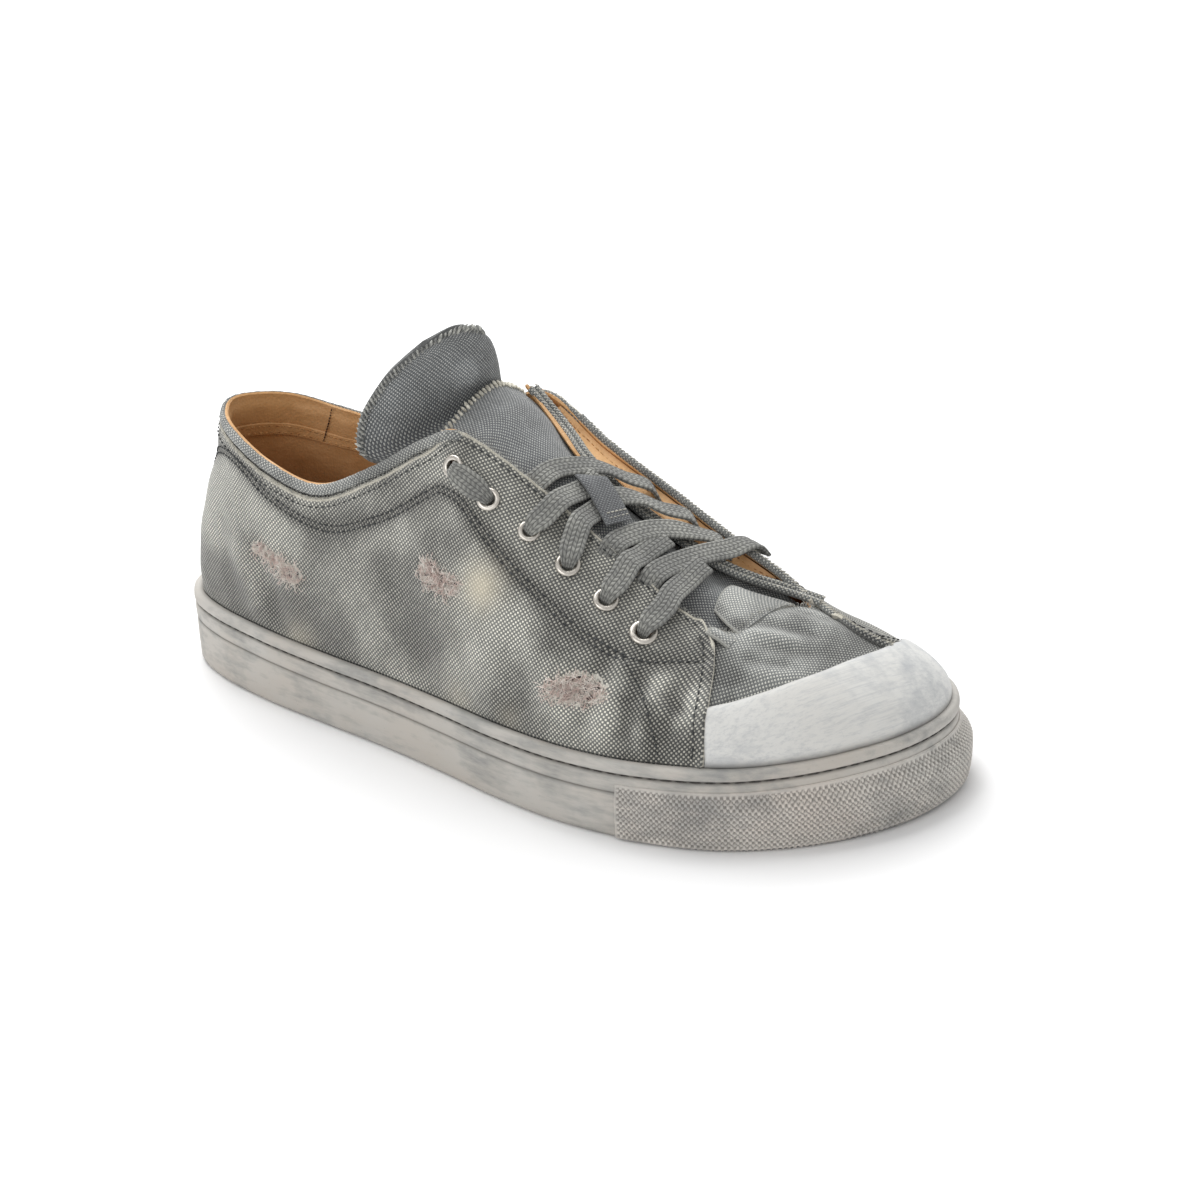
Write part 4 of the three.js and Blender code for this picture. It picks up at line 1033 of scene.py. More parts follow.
def shell():
    u = ROWS * np.arange(420) / 420
    outside_w = np.concatenate([[-1, -0.5], np.linspace(0, 1, 66) ** 0.9])
    grid_u, grid_w = np.broadcast_arrays(u[:, None], outside_w[None, :])
    base = skin(grid_u, grid_w)
    wave = np.where(grid_w > 0, folds(base), 0)
    outside = skin_off(grid_u, grid_w, wave - SHELL_SET_IN)
    rim_run = np.linalg.norm(base - skin(grid_u, np.ones_like(grid_w)), axis=-1)
    collar = smooth(base[..., 0], -12, -22)
    puff = 0.9 * smooth(rim_run, 1, 5) * (1 - smooth(rim_run, 11, 14)) * collar
    puff = puff + 0.25 * np.sin(base[..., 0] / 2.6 + base[..., 1] / 3.1) * smooth(rim_run, 3, 8) * collar * (
        1 - smooth(rim_run, 10, 14))
    inside = skin_off(grid_u, grid_w, np.where(grid_w > 0, 0.8 * wave, 0) - WALL - puff)
    front = base[..., 0] > 40
    uv = np.stack([base[..., 0], np.where(front, base[..., 1], base[..., 2])], -1)
    points, faces, maps, kinds = slab(outside, inside, uv, closed=True)
    piece = make_object("upper_shell", points, faces, [VAMP_CANVAS, LINING], maps, np.minimum(kinds, 1))
    # painted shadow in the gap between the collar binding and the panels' top edge
    groove = 2.6 * np.exp(-(((rim_run - 4.3) / 0.9) ** 2)) * collar
    paint(piece, painted_shade=np.concatenate([groove.ravel(), np.zeros(len(points) - groove.size)]))
    return piece


def cut_holes(piece, sides):
    """Cuts the eyelet holes of the given sides through a piece."""
    bm = bmesh.new()
    for inner, _, at, out in PLACES:
        if inner in sides:
            turn = Vector(out).to_track_quat("Z", "Y").to_matrix().to_4x4()
            place = Matrix.Translation(Vector(placed(at))) @ turn
            bmesh.ops.create_cone(bm, cap_ends=True, segments=20, radius1=HOLE_RADIUS * 0.001,
                                  radius2=HOLE_RADIUS * 0.001, depth=0.010, matrix=place)
    mesh = bpy.data.meshes.new("hole_cutter")
    bm.to_mesh(mesh)
    bm.free()
    cutter = add_object("hole_cutter", mesh)
    modifier = piece.modifiers.new("holes", "BOOLEAN")
    modifier.operation = "DIFFERENCE"
    modifier.solver = "MANIFOLD"
    modifier.object = cutter
    made = finished_mesh(piece)
    if len(made.polygons) < 0.8 * len(piece.data.polygons):
        raise RuntimeError("the holes could not be cut in " + piece.name)
    piece.data = made
    bpy.data.objects.remove(cutter)
    return piece


# ---- panels sewn over the shell ----
OUTER_FRONT = [(93.5, -53, 27), (92, -48, 40), (90, -41, 47), (86.5, -32, 53), (83, -26, 56), (78, -22, 59)]
INNER_FRONT = [(121, 36, 28), (124, 26, 38), (121, 15, 47), (113, 13.5, 51), (105, 15.5, 53), (97, 18, 54.5)]


def front_line(points):
    """u of a panel's front edge as a function of w."""
    u, w = locate(points)
    order = np.argsort(w)
    u, w = u[order], w[order]
    return lambda wanted: np.interp(wanted, w, u)


def collar_top(u, start, end):
    """w of a panel's top edge: a little under the rim round the collar, at the rim along the throat."""
    blend = smooth(u, start, end)
    return below_rim(u, COLLAR_EDGE) * (1 - blend) + 1.0 * blend


def panel(name, heel_u, front, top_of, rows, columns=76):
    s = np.linspace(0, 1, rows)[:, None]
    t = np.linspace(0, 1, columns)[None, :]
    u = np.broadcast_to(heel_u + (front(0.5) - heel_u) * s, (rows, columns)).copy()
    for _ in range(4):
        w = 0.004 + (top_of(u) - 0.004) * t
        u = heel_u + (front(w) - heel_u) * s
    base = skin(u, w)
    wave = folds(base)
    top_gap = np.linalg.norm(base - base[:, -1:], axis=-1)
    front_gap = np.linalg.norm(base - base[-1:, :], axis=-1)
    edge_gap = np.minimum(top_gap, front_gap)
    seam = seam_hollow(base)
    curl = 0.45 * np.exp(-edge_gap / 1.2) * (0.6 + 0.4 * np.sin(base[..., 0] * 0.9))
    hole = torn(base)
    foot = 0.4 * (1 - smooth(base[..., 2] - base[:, :1, 2], 0.5, 4.0))
    step = 1.0 * np.exp(-((front_gap / 2.4) ** 2)) + padding(u, w, base)
    out = wave * smooth(base[..., 2] - base[:, :1, 2], 0, 3) - seam + curl - 0.55 * hole + foot + step
    outside = skin_off(u, w, out)
    inside = skin_off(u, w, wave - PANEL_THICK + 0.5 * curl)
    middle = int(rows * 0.5)
    plan = np.linalg.norm(np.diff(base[..., :2], axis=0), axis=-1)
    run = np.concatenate([np.zeros((1, columns)), np.cumsum(plan, axis=0)])
    run = run - run[middle:middle + 1]
    start_x = base[middle:middle + 1, :, 0]
    rise = np.linalg.norm(np.diff(base, axis=1), axis=-1)
    up = np.concatenate([np.zeros((rows, 1)), np.cumsum(rise, axis=1)], axis=1)
    uv = np.stack([run + start_x, up], -1)
    piece, count = sheet_piece(name, outside, inside, uv, CANVAS)
    near = np.exp(-((top_gap / 1.15) ** 2))
    near = np.maximum(near, 0.9 * np.exp(-((front_gap / 0.8) ** 2)) * smooth(w, 0.72, 0.82))
    rest = count - 2 * near.size
    paint(piece, np.concatenate([near.ravel(), near.ravel(), np.full(rest, 0.8)]))
    return piece


# Seams sewn on the panels: the stitch rows' points, with how many rows run side by side.
SEAMS = {
    "outer_collar": ([(-149, -4, 74), (-136, -15, 83), (-122, -23, 87), (-107, -30, 85), (-90, -33, 77.5),
                      (-74, -34, 72.5),
                      (-60, -35, 72), (-45, -36, 77.5), (-30, -37, 85), (-17, -38, 93.5)], 2),
    "outer_eyestay": ([(-17, -38, 93.5), (-13, -40, 96), (-3, -43, 94.5), (8, -44.5, 87), (20, -46, 78),
                       (34, -47.5, 70),
                       (47, -48, 62), (61, -45, 53.5)], 2),
    "outer_branch_top": ([(61, -45, 53.5), (70, -42, 53.5), (79, -37, 54), (87, -31, 54)], 1),
    "outer_branch_low": ([(61, -45, 53.5), (68, -48, 49), (74, -52, 43), (78, -55, 36), (80, -56, 29)], 1),
    "heel": ([(-132.5, 0, 91), (-141, 0.2, 76), (-148, 0.4, 56), (-149.5, 0.5, 33)], 2),
    "inner_collar": ([(-147, 9, 75), (-134, 21, 83), (-118, 29, 85), (-100, 33, 78), (-78, 34, 73),
                      (-58, 34.5, 74),
                      (-38, 35, 82), (-20, 35, 92)], 2),
    "inner_eyestay": ([(-20, 35, 92), (-6, 37, 93), (10, 39, 84), (28, 41, 74), (48, 41.5, 64), (66, 42, 55),
                       (84, 42, 47), (102, 40, 40), (112, 40, 31)], 2),
}


def seam_uv(points, count=90):
    """A seam as a smooth run of u and w on the skin."""
    u, w = locate(points)
    if np.ptp(u) > ROWS / 2:
        u = np.where(u > ROWS / 2, u - ROWS, u)
    return through(np.stack([u, w], 1), count)


SEAM_LINES = {name: seam_uv(points) for name, (points, _) in SEAMS.items()}


def seam_hollow(points):
    """The shallow trough that each seam draws in the canvas."""
    flat = points.reshape(-1, 3)
    near = np.full(len(flat), 1e6)
    for line in SEAM_LINES.values():
        on = skin(line[:, 0], line[:, 1])
        low, high = on.min(0) - 6, on.max(0) + 6
        close = np.nonzero(((flat > low) & (flat < high)).all(1))[0]
        for start in range(0, len(close), 4000):
            part = close[start:start + 4000]
            gap = ((flat[part][:, None] - on[None]) ** 2).sum(-1).min(1)
            near[part] = np.minimum(near[part], gap)
    return (0.5 * np.exp(-near / 1.9 ** 2)).reshape(points.shape[:-1])


def on_skin_row(line_uv, pitch, lift):
    """Stitch places along a run of u and w: (points, way up, way along)."""
    points = skin(line_uv[:, 0], line_uv[:, 1])
    table = np.concatenate([points, line_uv], axis=1)
    run = run_along(points)
    at = np.arange(pitch / 2, run[-1], pitch)
    u, w = np.interp(at, run, table[:, 3]), np.interp(at, run, table[:, 4])
    base = skin(u, w)
    up = skin_normal(u, w)
    rise = folds(base) - seam_hollow(base) + padding(u, w, base) + lift
    along = unit(np.gradient(base, axis=0))
    return base + up * rise[:, None], up, along


def moved(line_uv, distance):
    """The same seam a distance to its side along the skin."""
    points = skin(line_uv[:, 0], line_uv[:, 1])
    up = skin_normal(line_uv[:, 0], line_uv[:, 1])
    side = np.cross(unit(np.gradient(points, axis=0)), up)
    u, w = locate(points + side * distance)
    if np.ptp(u) > ROWS / 2:
        u = np.where(u > ROWS / 2, u - ROWS, u)
    return np.stack([u, w], 1)


# ---- toe cap ----
CAP_SIDE = [(94.8, -52.4), (93.2, -49.7), (91.4, -45.4)]
CAP_REAR = [(91.4, -45.4), (95.2, -42.4), (100, -38.2), (108.5, -28.9), (115.8, -16.2), (121.4, -0.4),
            (124.3, 11.7), (124, 22), (121, 32), (114, 42), (110, 46.5)]


def over_plan(plan):
    """u and w of the skin's points that lie over the given plan points."""
    band = (_GRID_U > 8.5) & (_GRID_U < 17)
    flat = _GRID_P[band][:, :72].reshape(-1, 3)
    z = np.array([flat[np.argmin(((flat[:, :2] - p) ** 2).sum(1)), 2] for p in plan])
    for _ in range(4):
        u, w = locate(np.concatenate([plan, z[:, None]], 1))
        z = skin(u, w)[:, 2]
    return u, w


def cap_edge_uv():
    """The cap's rear edge as u and w: up the outer side, then across behind a sharp corner."""
    plan = np.concatenate([through(CAP_SIDE, 14)[:-1], through(CAP_REAR, 150)])
    u, w = over_plan(plan)
    w[0] = w[-1] = 0.004
    return np.stack([u, w], 1)


def toe_cap():
    edge = cap_edge_uv()
    rows, columns = 200, 64
    s = np.linspace(0, 1, rows)
    steps = np.linalg.norm(np.diff(skin(edge[:, 0], edge[:, 1]), axis=0), axis=1)
    picks = np.concatenate([[0], np.cumsum(steps)]) / steps.sum()
    edge_u, edge_w = np.interp(s, picks, edge[:, 0]), np.interp(s, picks, edge[:, 1])
    foot_u = edge_u[0] + (edge_u[-1] - edge_u[0]) * s
    t = np.linspace(0, 1, columns)[None, :]
    u = foot_u[:, None] * (1 - t) + edge_u[:, None] * t
    w = 0.004 * (1 - t) + np.maximum(edge_w, 0.02)[:, None] * t
    base = skin(u, w)
    gap = np.linalg.norm(base - base[:, -1:], axis=-1)
    uneven = 0.12 * np.sin(base[..., 0] / 7 + base[..., 1] / 9) * np.sin(base[..., 1] / 6)
    outside = skin_off(u, w, 1.5 - 0.5 * np.exp(-gap / 0.9) + uneven)
    inside = skin_off(u, w, np.full(u.shape, -0.75))
    uv = np.stack([base[..., 0], base[..., 1]], -1)
    piece, count = sheet_piece("toe_cap_rubber", outside, inside, uv, CAP_RUBBER, sharp=60)
    low = np.exp(-((base[..., 2] - lip_height(base[..., 0])) / 1.7) ** 2)
    rim = 0.35 * np.exp(-(gap / 0.7) ** 2)
    mark_hollow(piece, np.maximum(low * 0.9, rim), count)
    return piece


def mark_hollow(piece, outside, total):
    """Where dirt is held: given for the outside's points, none elsewhere."""
    values = np.zeros(total, np.float32)
    values[:outside.size] = outside.ravel()
    layer = piece.data.attributes.new("hollow", "FLOAT", "POINT")
    layer.data.foreach_set("value", values)


# ---- cup sole ----
def sole_profile(u):
    """The wall's profile at each u: how far out from the sole's edge, how high, and how dirty."""
    point, out = sole_edge(u)
    lip, base = lip_height(point[:, 0]), toe_spring(point[:, 0])
    inner = -LIP_INSET + 0.3
    rows = [(-2.2, base, 0), (-1.3, base + 0.12, 0), (-0.6, base + 0.7, 0.1), (-0.1, base + 2.0, 0),
            (0.05, (base + lip) / 2 - 5, 0), (0.0, lip - 11.6, 0), (-0.2, lip - 11.0, 0.3),
            (-0.5, lip - 10.6, 0.9),
            (-0.25, lip - 10.2, 0.3), (0.0, lip - 9.6, 0), (0.1, lip - 7.2, 0), (0.0, lip - 5.1, 0),
            (-0.3, lip - 4.75, 0.2), (-0.9, lip - 4.3, 1), (-0.9, lip - 4.05, 1), (-0.3, lip - 3.6, 0.2),
            (0.1, lip - 3.3, 0), (0.25, lip - 2.4, 0), (0.2, lip - 1.5, 0), (-0.05, lip - 0.75, 0),
            (-0.5, lip - 0.28, 0), (-1.0, lip - 0.06, 0), (-1.8, lip, 0), (-2.9, lip - 0.02, 0.25),
            (inner, lip - 0.3, 0.4), (inner, CUP_FLOOR, 0)]
    points, dirt = [], []
    for d, z, grime in rows:
        p = point + out * d
        p[:, 2] = z
        points.append(p)
        dirt.append(np.full(len(u), grime))
    return np.stack(points, 1), np.stack(dirt, 1)


def loop_u(count):
    """u of evenly spread stations round the shoe, from the heel by the outer side, and the pair of
    each station on the inner side."""
    half = count // 2
    outer = TOE_ROW * np.arange(half + 1) / half
    inner = ROWS - (ROWS - TOE_ROW) * np.arange(half + 1) / half
    return outer, inner


def tread(points):
    """How far the underside is hollowed: waved ribs across the sole, and a plain rim round it."""
    x, y = points[..., 0], points[..., 1]
    wave = np.sin((x + 3.0 * np.sin(y / 5.0)) * 2 * math.pi / 7.5)
    return 0.9 * smooth(wave, 0.1, 0.6)


def cup_sole():
    half = 230
    outer, inner = loop_u(2 * half)
    around = np.concatenate([outer, inner[1:-1][::-1]])
    profile, dirt = sole_profile(around)
    n, m = profile.shape[:2]
    points = [profile.reshape(-1, 3)]
    dirt_all = [dirt.ravel()]
    faces = grid_faces(n, m, 0, True).tolist()
    count = n * m

    def bridge(column, across, height, flip):
        """Closes the ring of points in a column with rows that span from side to side."""
        nonlocal count
        ring = np.arange(n) * m + column
        edge = profile[:, column]
        t = np.linspace(0, 1, across)
        index = np.zeros((half + 1, across), int)
        for i in range(half + 1):
            a, b = i, (n - i) % n
            index[i, 0], index[i, -1] = ring[a], ring[b]
        inside = [i for i in range(1, half)]
        a, b = edge[inside], edge[[(n - i) % n for i in inside]]
        rows = a[:, None] + (b - a)[:, None] * t[None, 1:-1, None]
        rows[..., 2] = height(rows, t[None, 1:-1])
        index[1:half, 1:-1] = count + np.arange(rows.shape[0] * rows.shape[1]).reshape(rows.shape[:2])
        points.append(rows.reshape(-1, 3))
        dirt_all.append(np.full(rows.shape[0] * rows.shape[1], 0.3))
        count += rows.shape[0] * rows.shape[1]
        for i in range(1, half - 1):
            for j in range(across - 1):
                quad = [index[i, j], index[i + 1, j], index[i + 1, j + 1], index[i, j + 1]]
                faces.append(quad[::-1] if flip else quad)
        for i, tip in ((1, ring[0]), (half - 1, ring[half])):
            for j in range(across - 1):
                faces.append([tip, index[i, j], index[i, j + 1]] if (i == 1) != flip
                             else [tip, index[i, j + 1], index[i, j]])

    def under(rows, t):
        x = rows[..., 0]
        waist = smooth(x, -52, -30) * (1 - smooth(x, 12, 34))
        rim = smooth(np.minimum(t, 1 - t), 0.03, 0.07)
        return toe_spring(x) + ARCH_RISE * waist + tread(rows) * rim

    bridge(0, 74, under, False)
    bridge(m - 1, 6, lambda rows, t: np.full(rows.shape[:2], CUP_FLOOR), True)
    piece = make_object("cup_sole", np.concatenate(points), faces, [RUBBER])
    mark_hollow(piece, np.concatenate(dirt_all), count)
    return piece


BUMPER_ENDS = (8.72, 16.45)
STUD_PITCH = 1.85


def bumper():
    """The band round the toe: thicker towards the front, with a field of small studs."""
    rows, columns = 680, 36
    u = np.linspace(*BUMPER_ENDS, rows)
    point, out = sole_edge(u)
    run = run_along(point)[:, None]
    low = (toe_spring(point[:, 0]) + 1.0)[:, None]
    high = (lip_height(point[:, 0]) - 7.4)[:, None]
    t = np.linspace(0, 1, columns)[None, :]
    z = low + (high - low) * t
    thick = 0.8 + 3.2 * smooth(point[:, 0], 74, 142)[:, None]
    belly = thick * (0.72 + 0.34 * np.sin(math.pi * (0.12 + 0.72 * t))) * (1 - 0.88 * smooth(t, 0.62, 1.0))
    a = np.cos(math.pi * (run + z) / STUD_PITCH)
    b = np.cos(math.pi * (run - z) / STUD_PITCH)
    studs = np.abs(a) * np.abs(b)
    frame_edge = smooth(t, 0.0, 0.03) * (1 - smooth(t, 0.93, 0.97))
    ends = smooth(run, 0.3, 0.8) * (1 - smooth(run, run[-1] - 0.8, run[-1] - 0.3))
    field = frame_edge * ends
    rise = belly + (0.6 * smooth(studs, 0.1, 0.8) - 0.3) * field
    outside = point[:, None] + out[:, None] * (0.3 + rise)[..., None]
    inside = point[:, None] + out[:, None] * np.full(rise.shape, 0.02)[..., None]
    outside[..., 2] = z
    inside[..., 2] = z
    uv = np.stack(np.broadcast_arrays(run, z), -1)
    piece, count = sheet_piece("bumper_band", outside, inside, uv, BUMPER_RUBBER, sharp=70)
    mark_hollow(piece, (1 - smooth(studs, 0.1, 0.62)) * field + 0.3 * (1 - field), count)
    return piece


# ---- insole ----
def sock():
    half = 150
    outer, inner = loop_u(2 * half)
    inset = LIP_INSET + WALL + 0.5
    edges = []
    for u in (outer, inner):
        point, out = sole_edge(u)
        edges.append(point - out * inset)
    t = np.linspace(0, 1, 40)[None, :, None]
    plan = edges[0][:, None] * (1 - t) + edges[1][:, None] * t
    x, side = plan[..., 0], t[..., 0]
    over = CUP_FLOOR + 0.3 + INSOLE_THICK
    arch = 3 * smooth(x, -75, -20) * (1 - smooth(x, 10, 60)) * smooth(side, 0.55, 1)
    heel = -0.8 * np.exp(-(((x + 112) / 26) ** 2 + (plan[..., 1] / 20) ** 2))
    ball = -0.7 * np.exp(-(((x - 62) / 24) ** 2 + (plan[..., 1] / 30) ** 2))
    toes = -0.4 * np.exp(-(((x - 118) / 14) ** 2 + ((plan[..., 1] - 14) / 16) ** 2))
    top, bottom = plan.copy(), plan.copy()
    top[..., 2] = over + 1.2 * np.abs(2 * side - 1) ** 3 + arch + heel + ball + toes
    bottom[..., 2] = CUP_FLOOR + 0.3
    top, bottom = top[1:-1], bottom[1:-1]
    return sheet_piece("sock_lining", top, bottom, top[..., :2], SOCK)[0]


# ---- tongue, flap and facing ----
def surface_through(grid):
    """A smooth surface through a grid of points, as a function of s along the rows and t across."""
    grid = np.asarray(grid, float)

    def across(t):
        x = np.asarray(t, float) * (grid.shape[1] - 1)
        i = np.minimum(x.astype(int), grid.shape[1] - 2)
        k = [np.clip(i + d, 0, grid.shape[1] - 1) for d in (-1, 0, 1, 2)]
        return [grid[:, j] for j in k], (x - i)[None, :, None]

    def at(s, t):
        s, t = np.atleast_1d(s).astype(float), np.atleast_1d(t).astype(float)
        (a, b, c, d), f = across(t)
        lines = catmull(a, b, c, d, f)
        y = s * (grid.shape[0] - 1)
        i = np.minimum(y.astype(int), grid.shape[0] - 2)
        a, b, c, d = (lines[np.clip(i + q, 0, grid.shape[0] - 1)] for q in (-1, 0, 1, 2))
        return catmull(a, b, c, d, (y - i)[:, None, None])

    def off(s, t, depth):
        s, t = np.atleast_1d(s).astype(float), np.atleast_1d(t).astype(float)
        here = at(s, t)
        e = 0.006
        along = at(np.minimum(s + e, 1), t) - at(np.maximum(s - e, 0), t)
        over = at(s, np.minimum(t + e, 1)) - at(s, np.maximum(t - e, 0))
        normal = unit(np.cross(along, over))
        return here + normal * np.asarray(depth)[..., None] if np.ndim(depth) else here + normal * depth
    return at, off


BED_STATIONS = [
    (7.08, 18.75, (-4, -10, 113), (-4, 6, 112.3), (-4, 16, 104.5)),
    (7.55, 18.3, (7, -10, 104), (7, 2, 102.8), (7, 12.5, 95.5)),
    (8.0, 17.85, (18, -9, 96.5), (18, -1, 95.6), (18, 10, 88.5)),
    (8.5, 17.35, (33, -9, 86.5), (33, -1, 86), (33, 9.5, 80)),
    (9.0, 16.8, (48, -9, 77), (48, -2, 76.6), (48, 8.5, 71.5)),
    (9.5, 16.25, (60, -9, 69.5), (60, -2, 69.2), (60, 8.5, 64.8)),
    (10.0, 15.75, (72, -8, 62.3), (72, -1, 61.8), (72, 9, 58.4)),
    (10.5, 15.3, (79, -7, 57.2), (79, 0, 56.8), (79, 10, 54.6)),
    (11.0, 15.0, (85, -6, 53.6), (85, 2, 53.2), (85, 11, 51.6)),
    (11.5, 14.6, (92, -4, 51), (92, 4, 50.6), (92, 12, 49.6)),
]
BED_TOP = [(-18, -26, 107.5), (-18, -22, 110), (-18, -8, 115), (-18, 6, 117), (-18, 15, 114.5),
           (-18, 21, 111),
           (-18, 24, 108)]
FLAP_THICK = 1.6
TONGUE_UNDER = FLAP_THICK + 1.2
TONGUE_THICK = 2.2
TONGUE_ROWS = [
    [(-24.7, -21, 137.2), (-20.8, -17, 140), (-18, -12.5, 141.6), (-16.6, -8, 141), (-16.7, -2, 138.6),
     (-20, 4, 136)],
    [(-31.2, -24, 131.8), (-23.5, -16, 135), (-18.5, -8, 136.4), (-16.6, -1, 135.4), (-18, 6, 133),
     (-24, 12, 130)],
    [(-41, -26, 122.2), (-30.5, -18, 125.3), (-22.5, -8, 127), (-18.7, 2, 127), (-19.3, 11, 125),
     (-26, 18, 121)],
    [(-50, -27, 107.5), (-36.5, -20, 111), (-26, -8, 114.5), (-21.6, 5, 115.5), (-22, 16, 113.5),
     (-28, 24, 108)],
    [(-47, -26, 96), (-34, -20, 101.5), (-24.5, -6, 108), (-21, 6, 109), (-22, 17, 106), (-26, 24, 99)],
]
TONGUE_COLUMNS = np.array([0.05, 1 / 6, 2 / 6, 3 / 6, 4 / 6, 5 / 6, 0.95])
FACING_ROWS = [
    ((-15, 22, 113), (-11, 25, 109)), ((-4, 18, 105.5), (0, 23.4, 101)), ((5, 13.5, 100.3), (9, 22, 95.5)),
    ((13, 10, 95.5), (17, 21, 91)), ((25, 8, 88.5), (28, 20, 85)), ((38, 7, 81), (40, 19.5, 78.5)),
    ((52, 8, 73), (52, 19, 72)), ((62, 9, 67.6), (62, 19, 67)), ((70, 12.5, 63), (71, 19.3, 62.5)),
    ((77, 16.5, 59.5), (79, 20, 58.8)),
]


def bed_grid():
    rows = [BED_TOP]
    for outer, inner, *middle in BED_STATIONS:
        sides = [skin_off(outer, w, -WALL - 1.5) for w in (0.78, 0.95)]
        back = [skin_off(inner, w, -WALL - 3.8) for w in (0.93, 0.8)]
        rows.append([*sides, *middle, *back])
    return np.array([[np.asarray(p, float) for p in row] for row in rows])


BED_GRID = bed_grid()
BED = surface_through(BED_GRID)


def tongue_grid():
    rows = []
    spots = np.arange(len(TONGUE_COLUMNS)) / (len(TONGUE_COLUMNS) - 1)
    for row in TONGUE_ROWS:
        rows.append(surface_through([row, row])[0]([0], spots)[0])
    for i in (0.55, 1.05, 1.5, 2, 3, 4, 5, 6, 7, 8, 9, 9.6):
        drop = 2.2 * np.abs(2 * TONGUE_COLUMNS - 1) ** 4
        rows.append(BED[1]([i / (len(BED_GRID) - 1)], TONGUE_COLUMNS, (-TONGUE_UNDER - drop)[None, :])[0])
    return np.array(rows)


TONGUE = surface_through(tongue_grid())
FACING = surface_through([[a, ((a[0] + b[0]) / 2, (a[1] + b[1]) / 2, (a[2] + b[2]) / 2 - 0.6), b]
                          for a, b in FACING_ROWS])


def cloth_strip(name, surface, top, bottom, rows, columns, materials, ripple=None):
    """A sheet between two depths of a surface, with its edge mask."""
    at, off = surface
    s, t = np.linspace(0, 1, rows), np.linspace(0, 1, columns)
    middle = at(s, t)
    soft = np.zeros((rows, columns)) if ripple is None else ripple(middle)
    outside = off(s, t, top + soft)
    inside = off(s, t, bottom + soft)
    across = np.linalg.norm(np.diff(middle, axis=1), axis=-1)
    x = np.concatenate([np.zeros((rows, 1)), np.cumsum(across, axis=1)], axis=1)
    x = x - x[:, columns // 2][:, None]
    steps = np.linalg.norm(np.diff(middle, axis=0), axis=-1)
    y = np.concatenate([np.zeros((1, columns)), np.cumsum(steps, axis=0)], axis=0)
    uv = np.stack([x, np.broadcast_to(y[:, columns // 2][:, None], x.shape)], -1)
    points, faces, maps, kinds = slab(outside, inside, uv)
    slots = np.where(kinds == 1, len(materials) - 1, 0)
    piece = make_object(name, points, faces, materials, maps, slots)
    gap = np.minimum(x - x[:, :1], x[:, -1:] - x)
    gap = np.minimum(gap, y)
    near = np.exp(-((gap / 0.9) ** 2))
    paint(piece, np.concatenate([near.ravel(), near.ravel(), np.ones(len(points) - 2 * near.size)]))
    return piece


def edge_row(surface, path, pitch, lift):
    """Places along a path of (s, t) on a surface: (points, way up, way along)."""
    at, off = surface
    path = np.asarray(path, float)
    points = np.array([at([a], [b])[0, 0] for a, b in path])
    tops = np.array([off([a], [b], 1.0)[0, 0] for a, b in path])
    both = np.concatenate([points, tops - points], axis=1)
    run = run_along(points)
    at_run = np.arange(pitch / 2, run[-1], pitch)
    both = np.stack([np.interp(at_run, run, both[:, k]) for k in range(6)], 1)
    up = unit(both[:, 3:])
    return both[:, :3] + up * lift, up, unit(np.gradient(both[:, :3], axis=0))


# ---- rolled edges ----
ROLL_RADIUS = 1.25
ROLL_APART = 1.2  # half the distance between the two runs
FACING_LINE = [0.35, 0.42, 0.33, 0.22, 0.06, 0.0, 0.0, 0.0, 0.0, 0.0]
INNER_TIP = (98, 19.5, 55.2)


def facing_line():
    """The middle of the rolled canvas edge that runs down the facing to the front of the inner quarter."""
    share = np.linspace(0, 1, 60)
    t = np.interp(share, np.linspace(0, 1, len(FACING_LINE)), FACING_LINE)
    at = FACING[0]
    points = np.array([at([a], [b])[0, 0] for a, b in zip(share, t)])
    return np.concatenate([points, through([points[-1], (88, 18.6, 57.2), INNER_TIP], 12)[1:]])


def facing_up(line):
    return np.tile(unit(np.array([0.45, -0.1, 0.88])), (len(line), 1))


def facing_side(line):
    return unit(np.cross(unit(np.gradient(line, axis=0)), facing_up(line)))


def vamp_rope():
    """The whipped ridge on the vamp between the inner quarter's tip and the toe cap."""
    u, w = locate(through([(97, 19, 54.5), (106, 16, 52), (113, 13, 51), (120, 13, 49), (125, 15, 46.5)],
                          120))
    return skin_off(u, w, np.full(120, 0.35)), skin_normal(u, w)


def rolled_edges():
    """Canvas rolled over cord: two runs along the facing, and one along the inner throat edge."""
    line = facing_line()
    angles = np.linspace(0, 2 * math.pi, 12, endpoint=False)
    ring = np.stack([np.cos(angles), np.sin(angles)], 1)
    parts = []
    for side in (-ROLL_APART, ROLL_APART):
        run = line + facing_side(line) * side + facing_up(line) * 0.35
        parts.append(tube(run, facing_up(line), ring * ROLL_RADIUS))
    u = np.linspace(18.45, 14.45, 260)
    top = skin_off(u, np.ones(260), np.full(260, -0.35))
    parts.append(tube(top, skin_normal(u, np.ones(260)), ring * 1.35))
    on_vamp = vamp_rope()
    parts.append(tube(on_vamp[0], on_vamp[1], ring * 1.15))
    points, faces, uv = joined(parts)
    piece = make_object("rolled_edges", points, faces, [CANVAS_FINE], uv)
    paint(piece)
    settle(piece, "canvas")
    low = line[:34]
    left = -facing_side(low) * np.linspace(5.2, 3.2, 34)[:, None] - facing_up(low) * 1.6
    tan = np.stack([low + left * k for k in np.linspace(1, 0, 6)], 1)
    under = tan - facing_up(low)[:, None] * 0.9
    settle(sheet_piece("facing_tan_edge", tan, under, plain_uv(34, 6), LINING)[0], "lining")


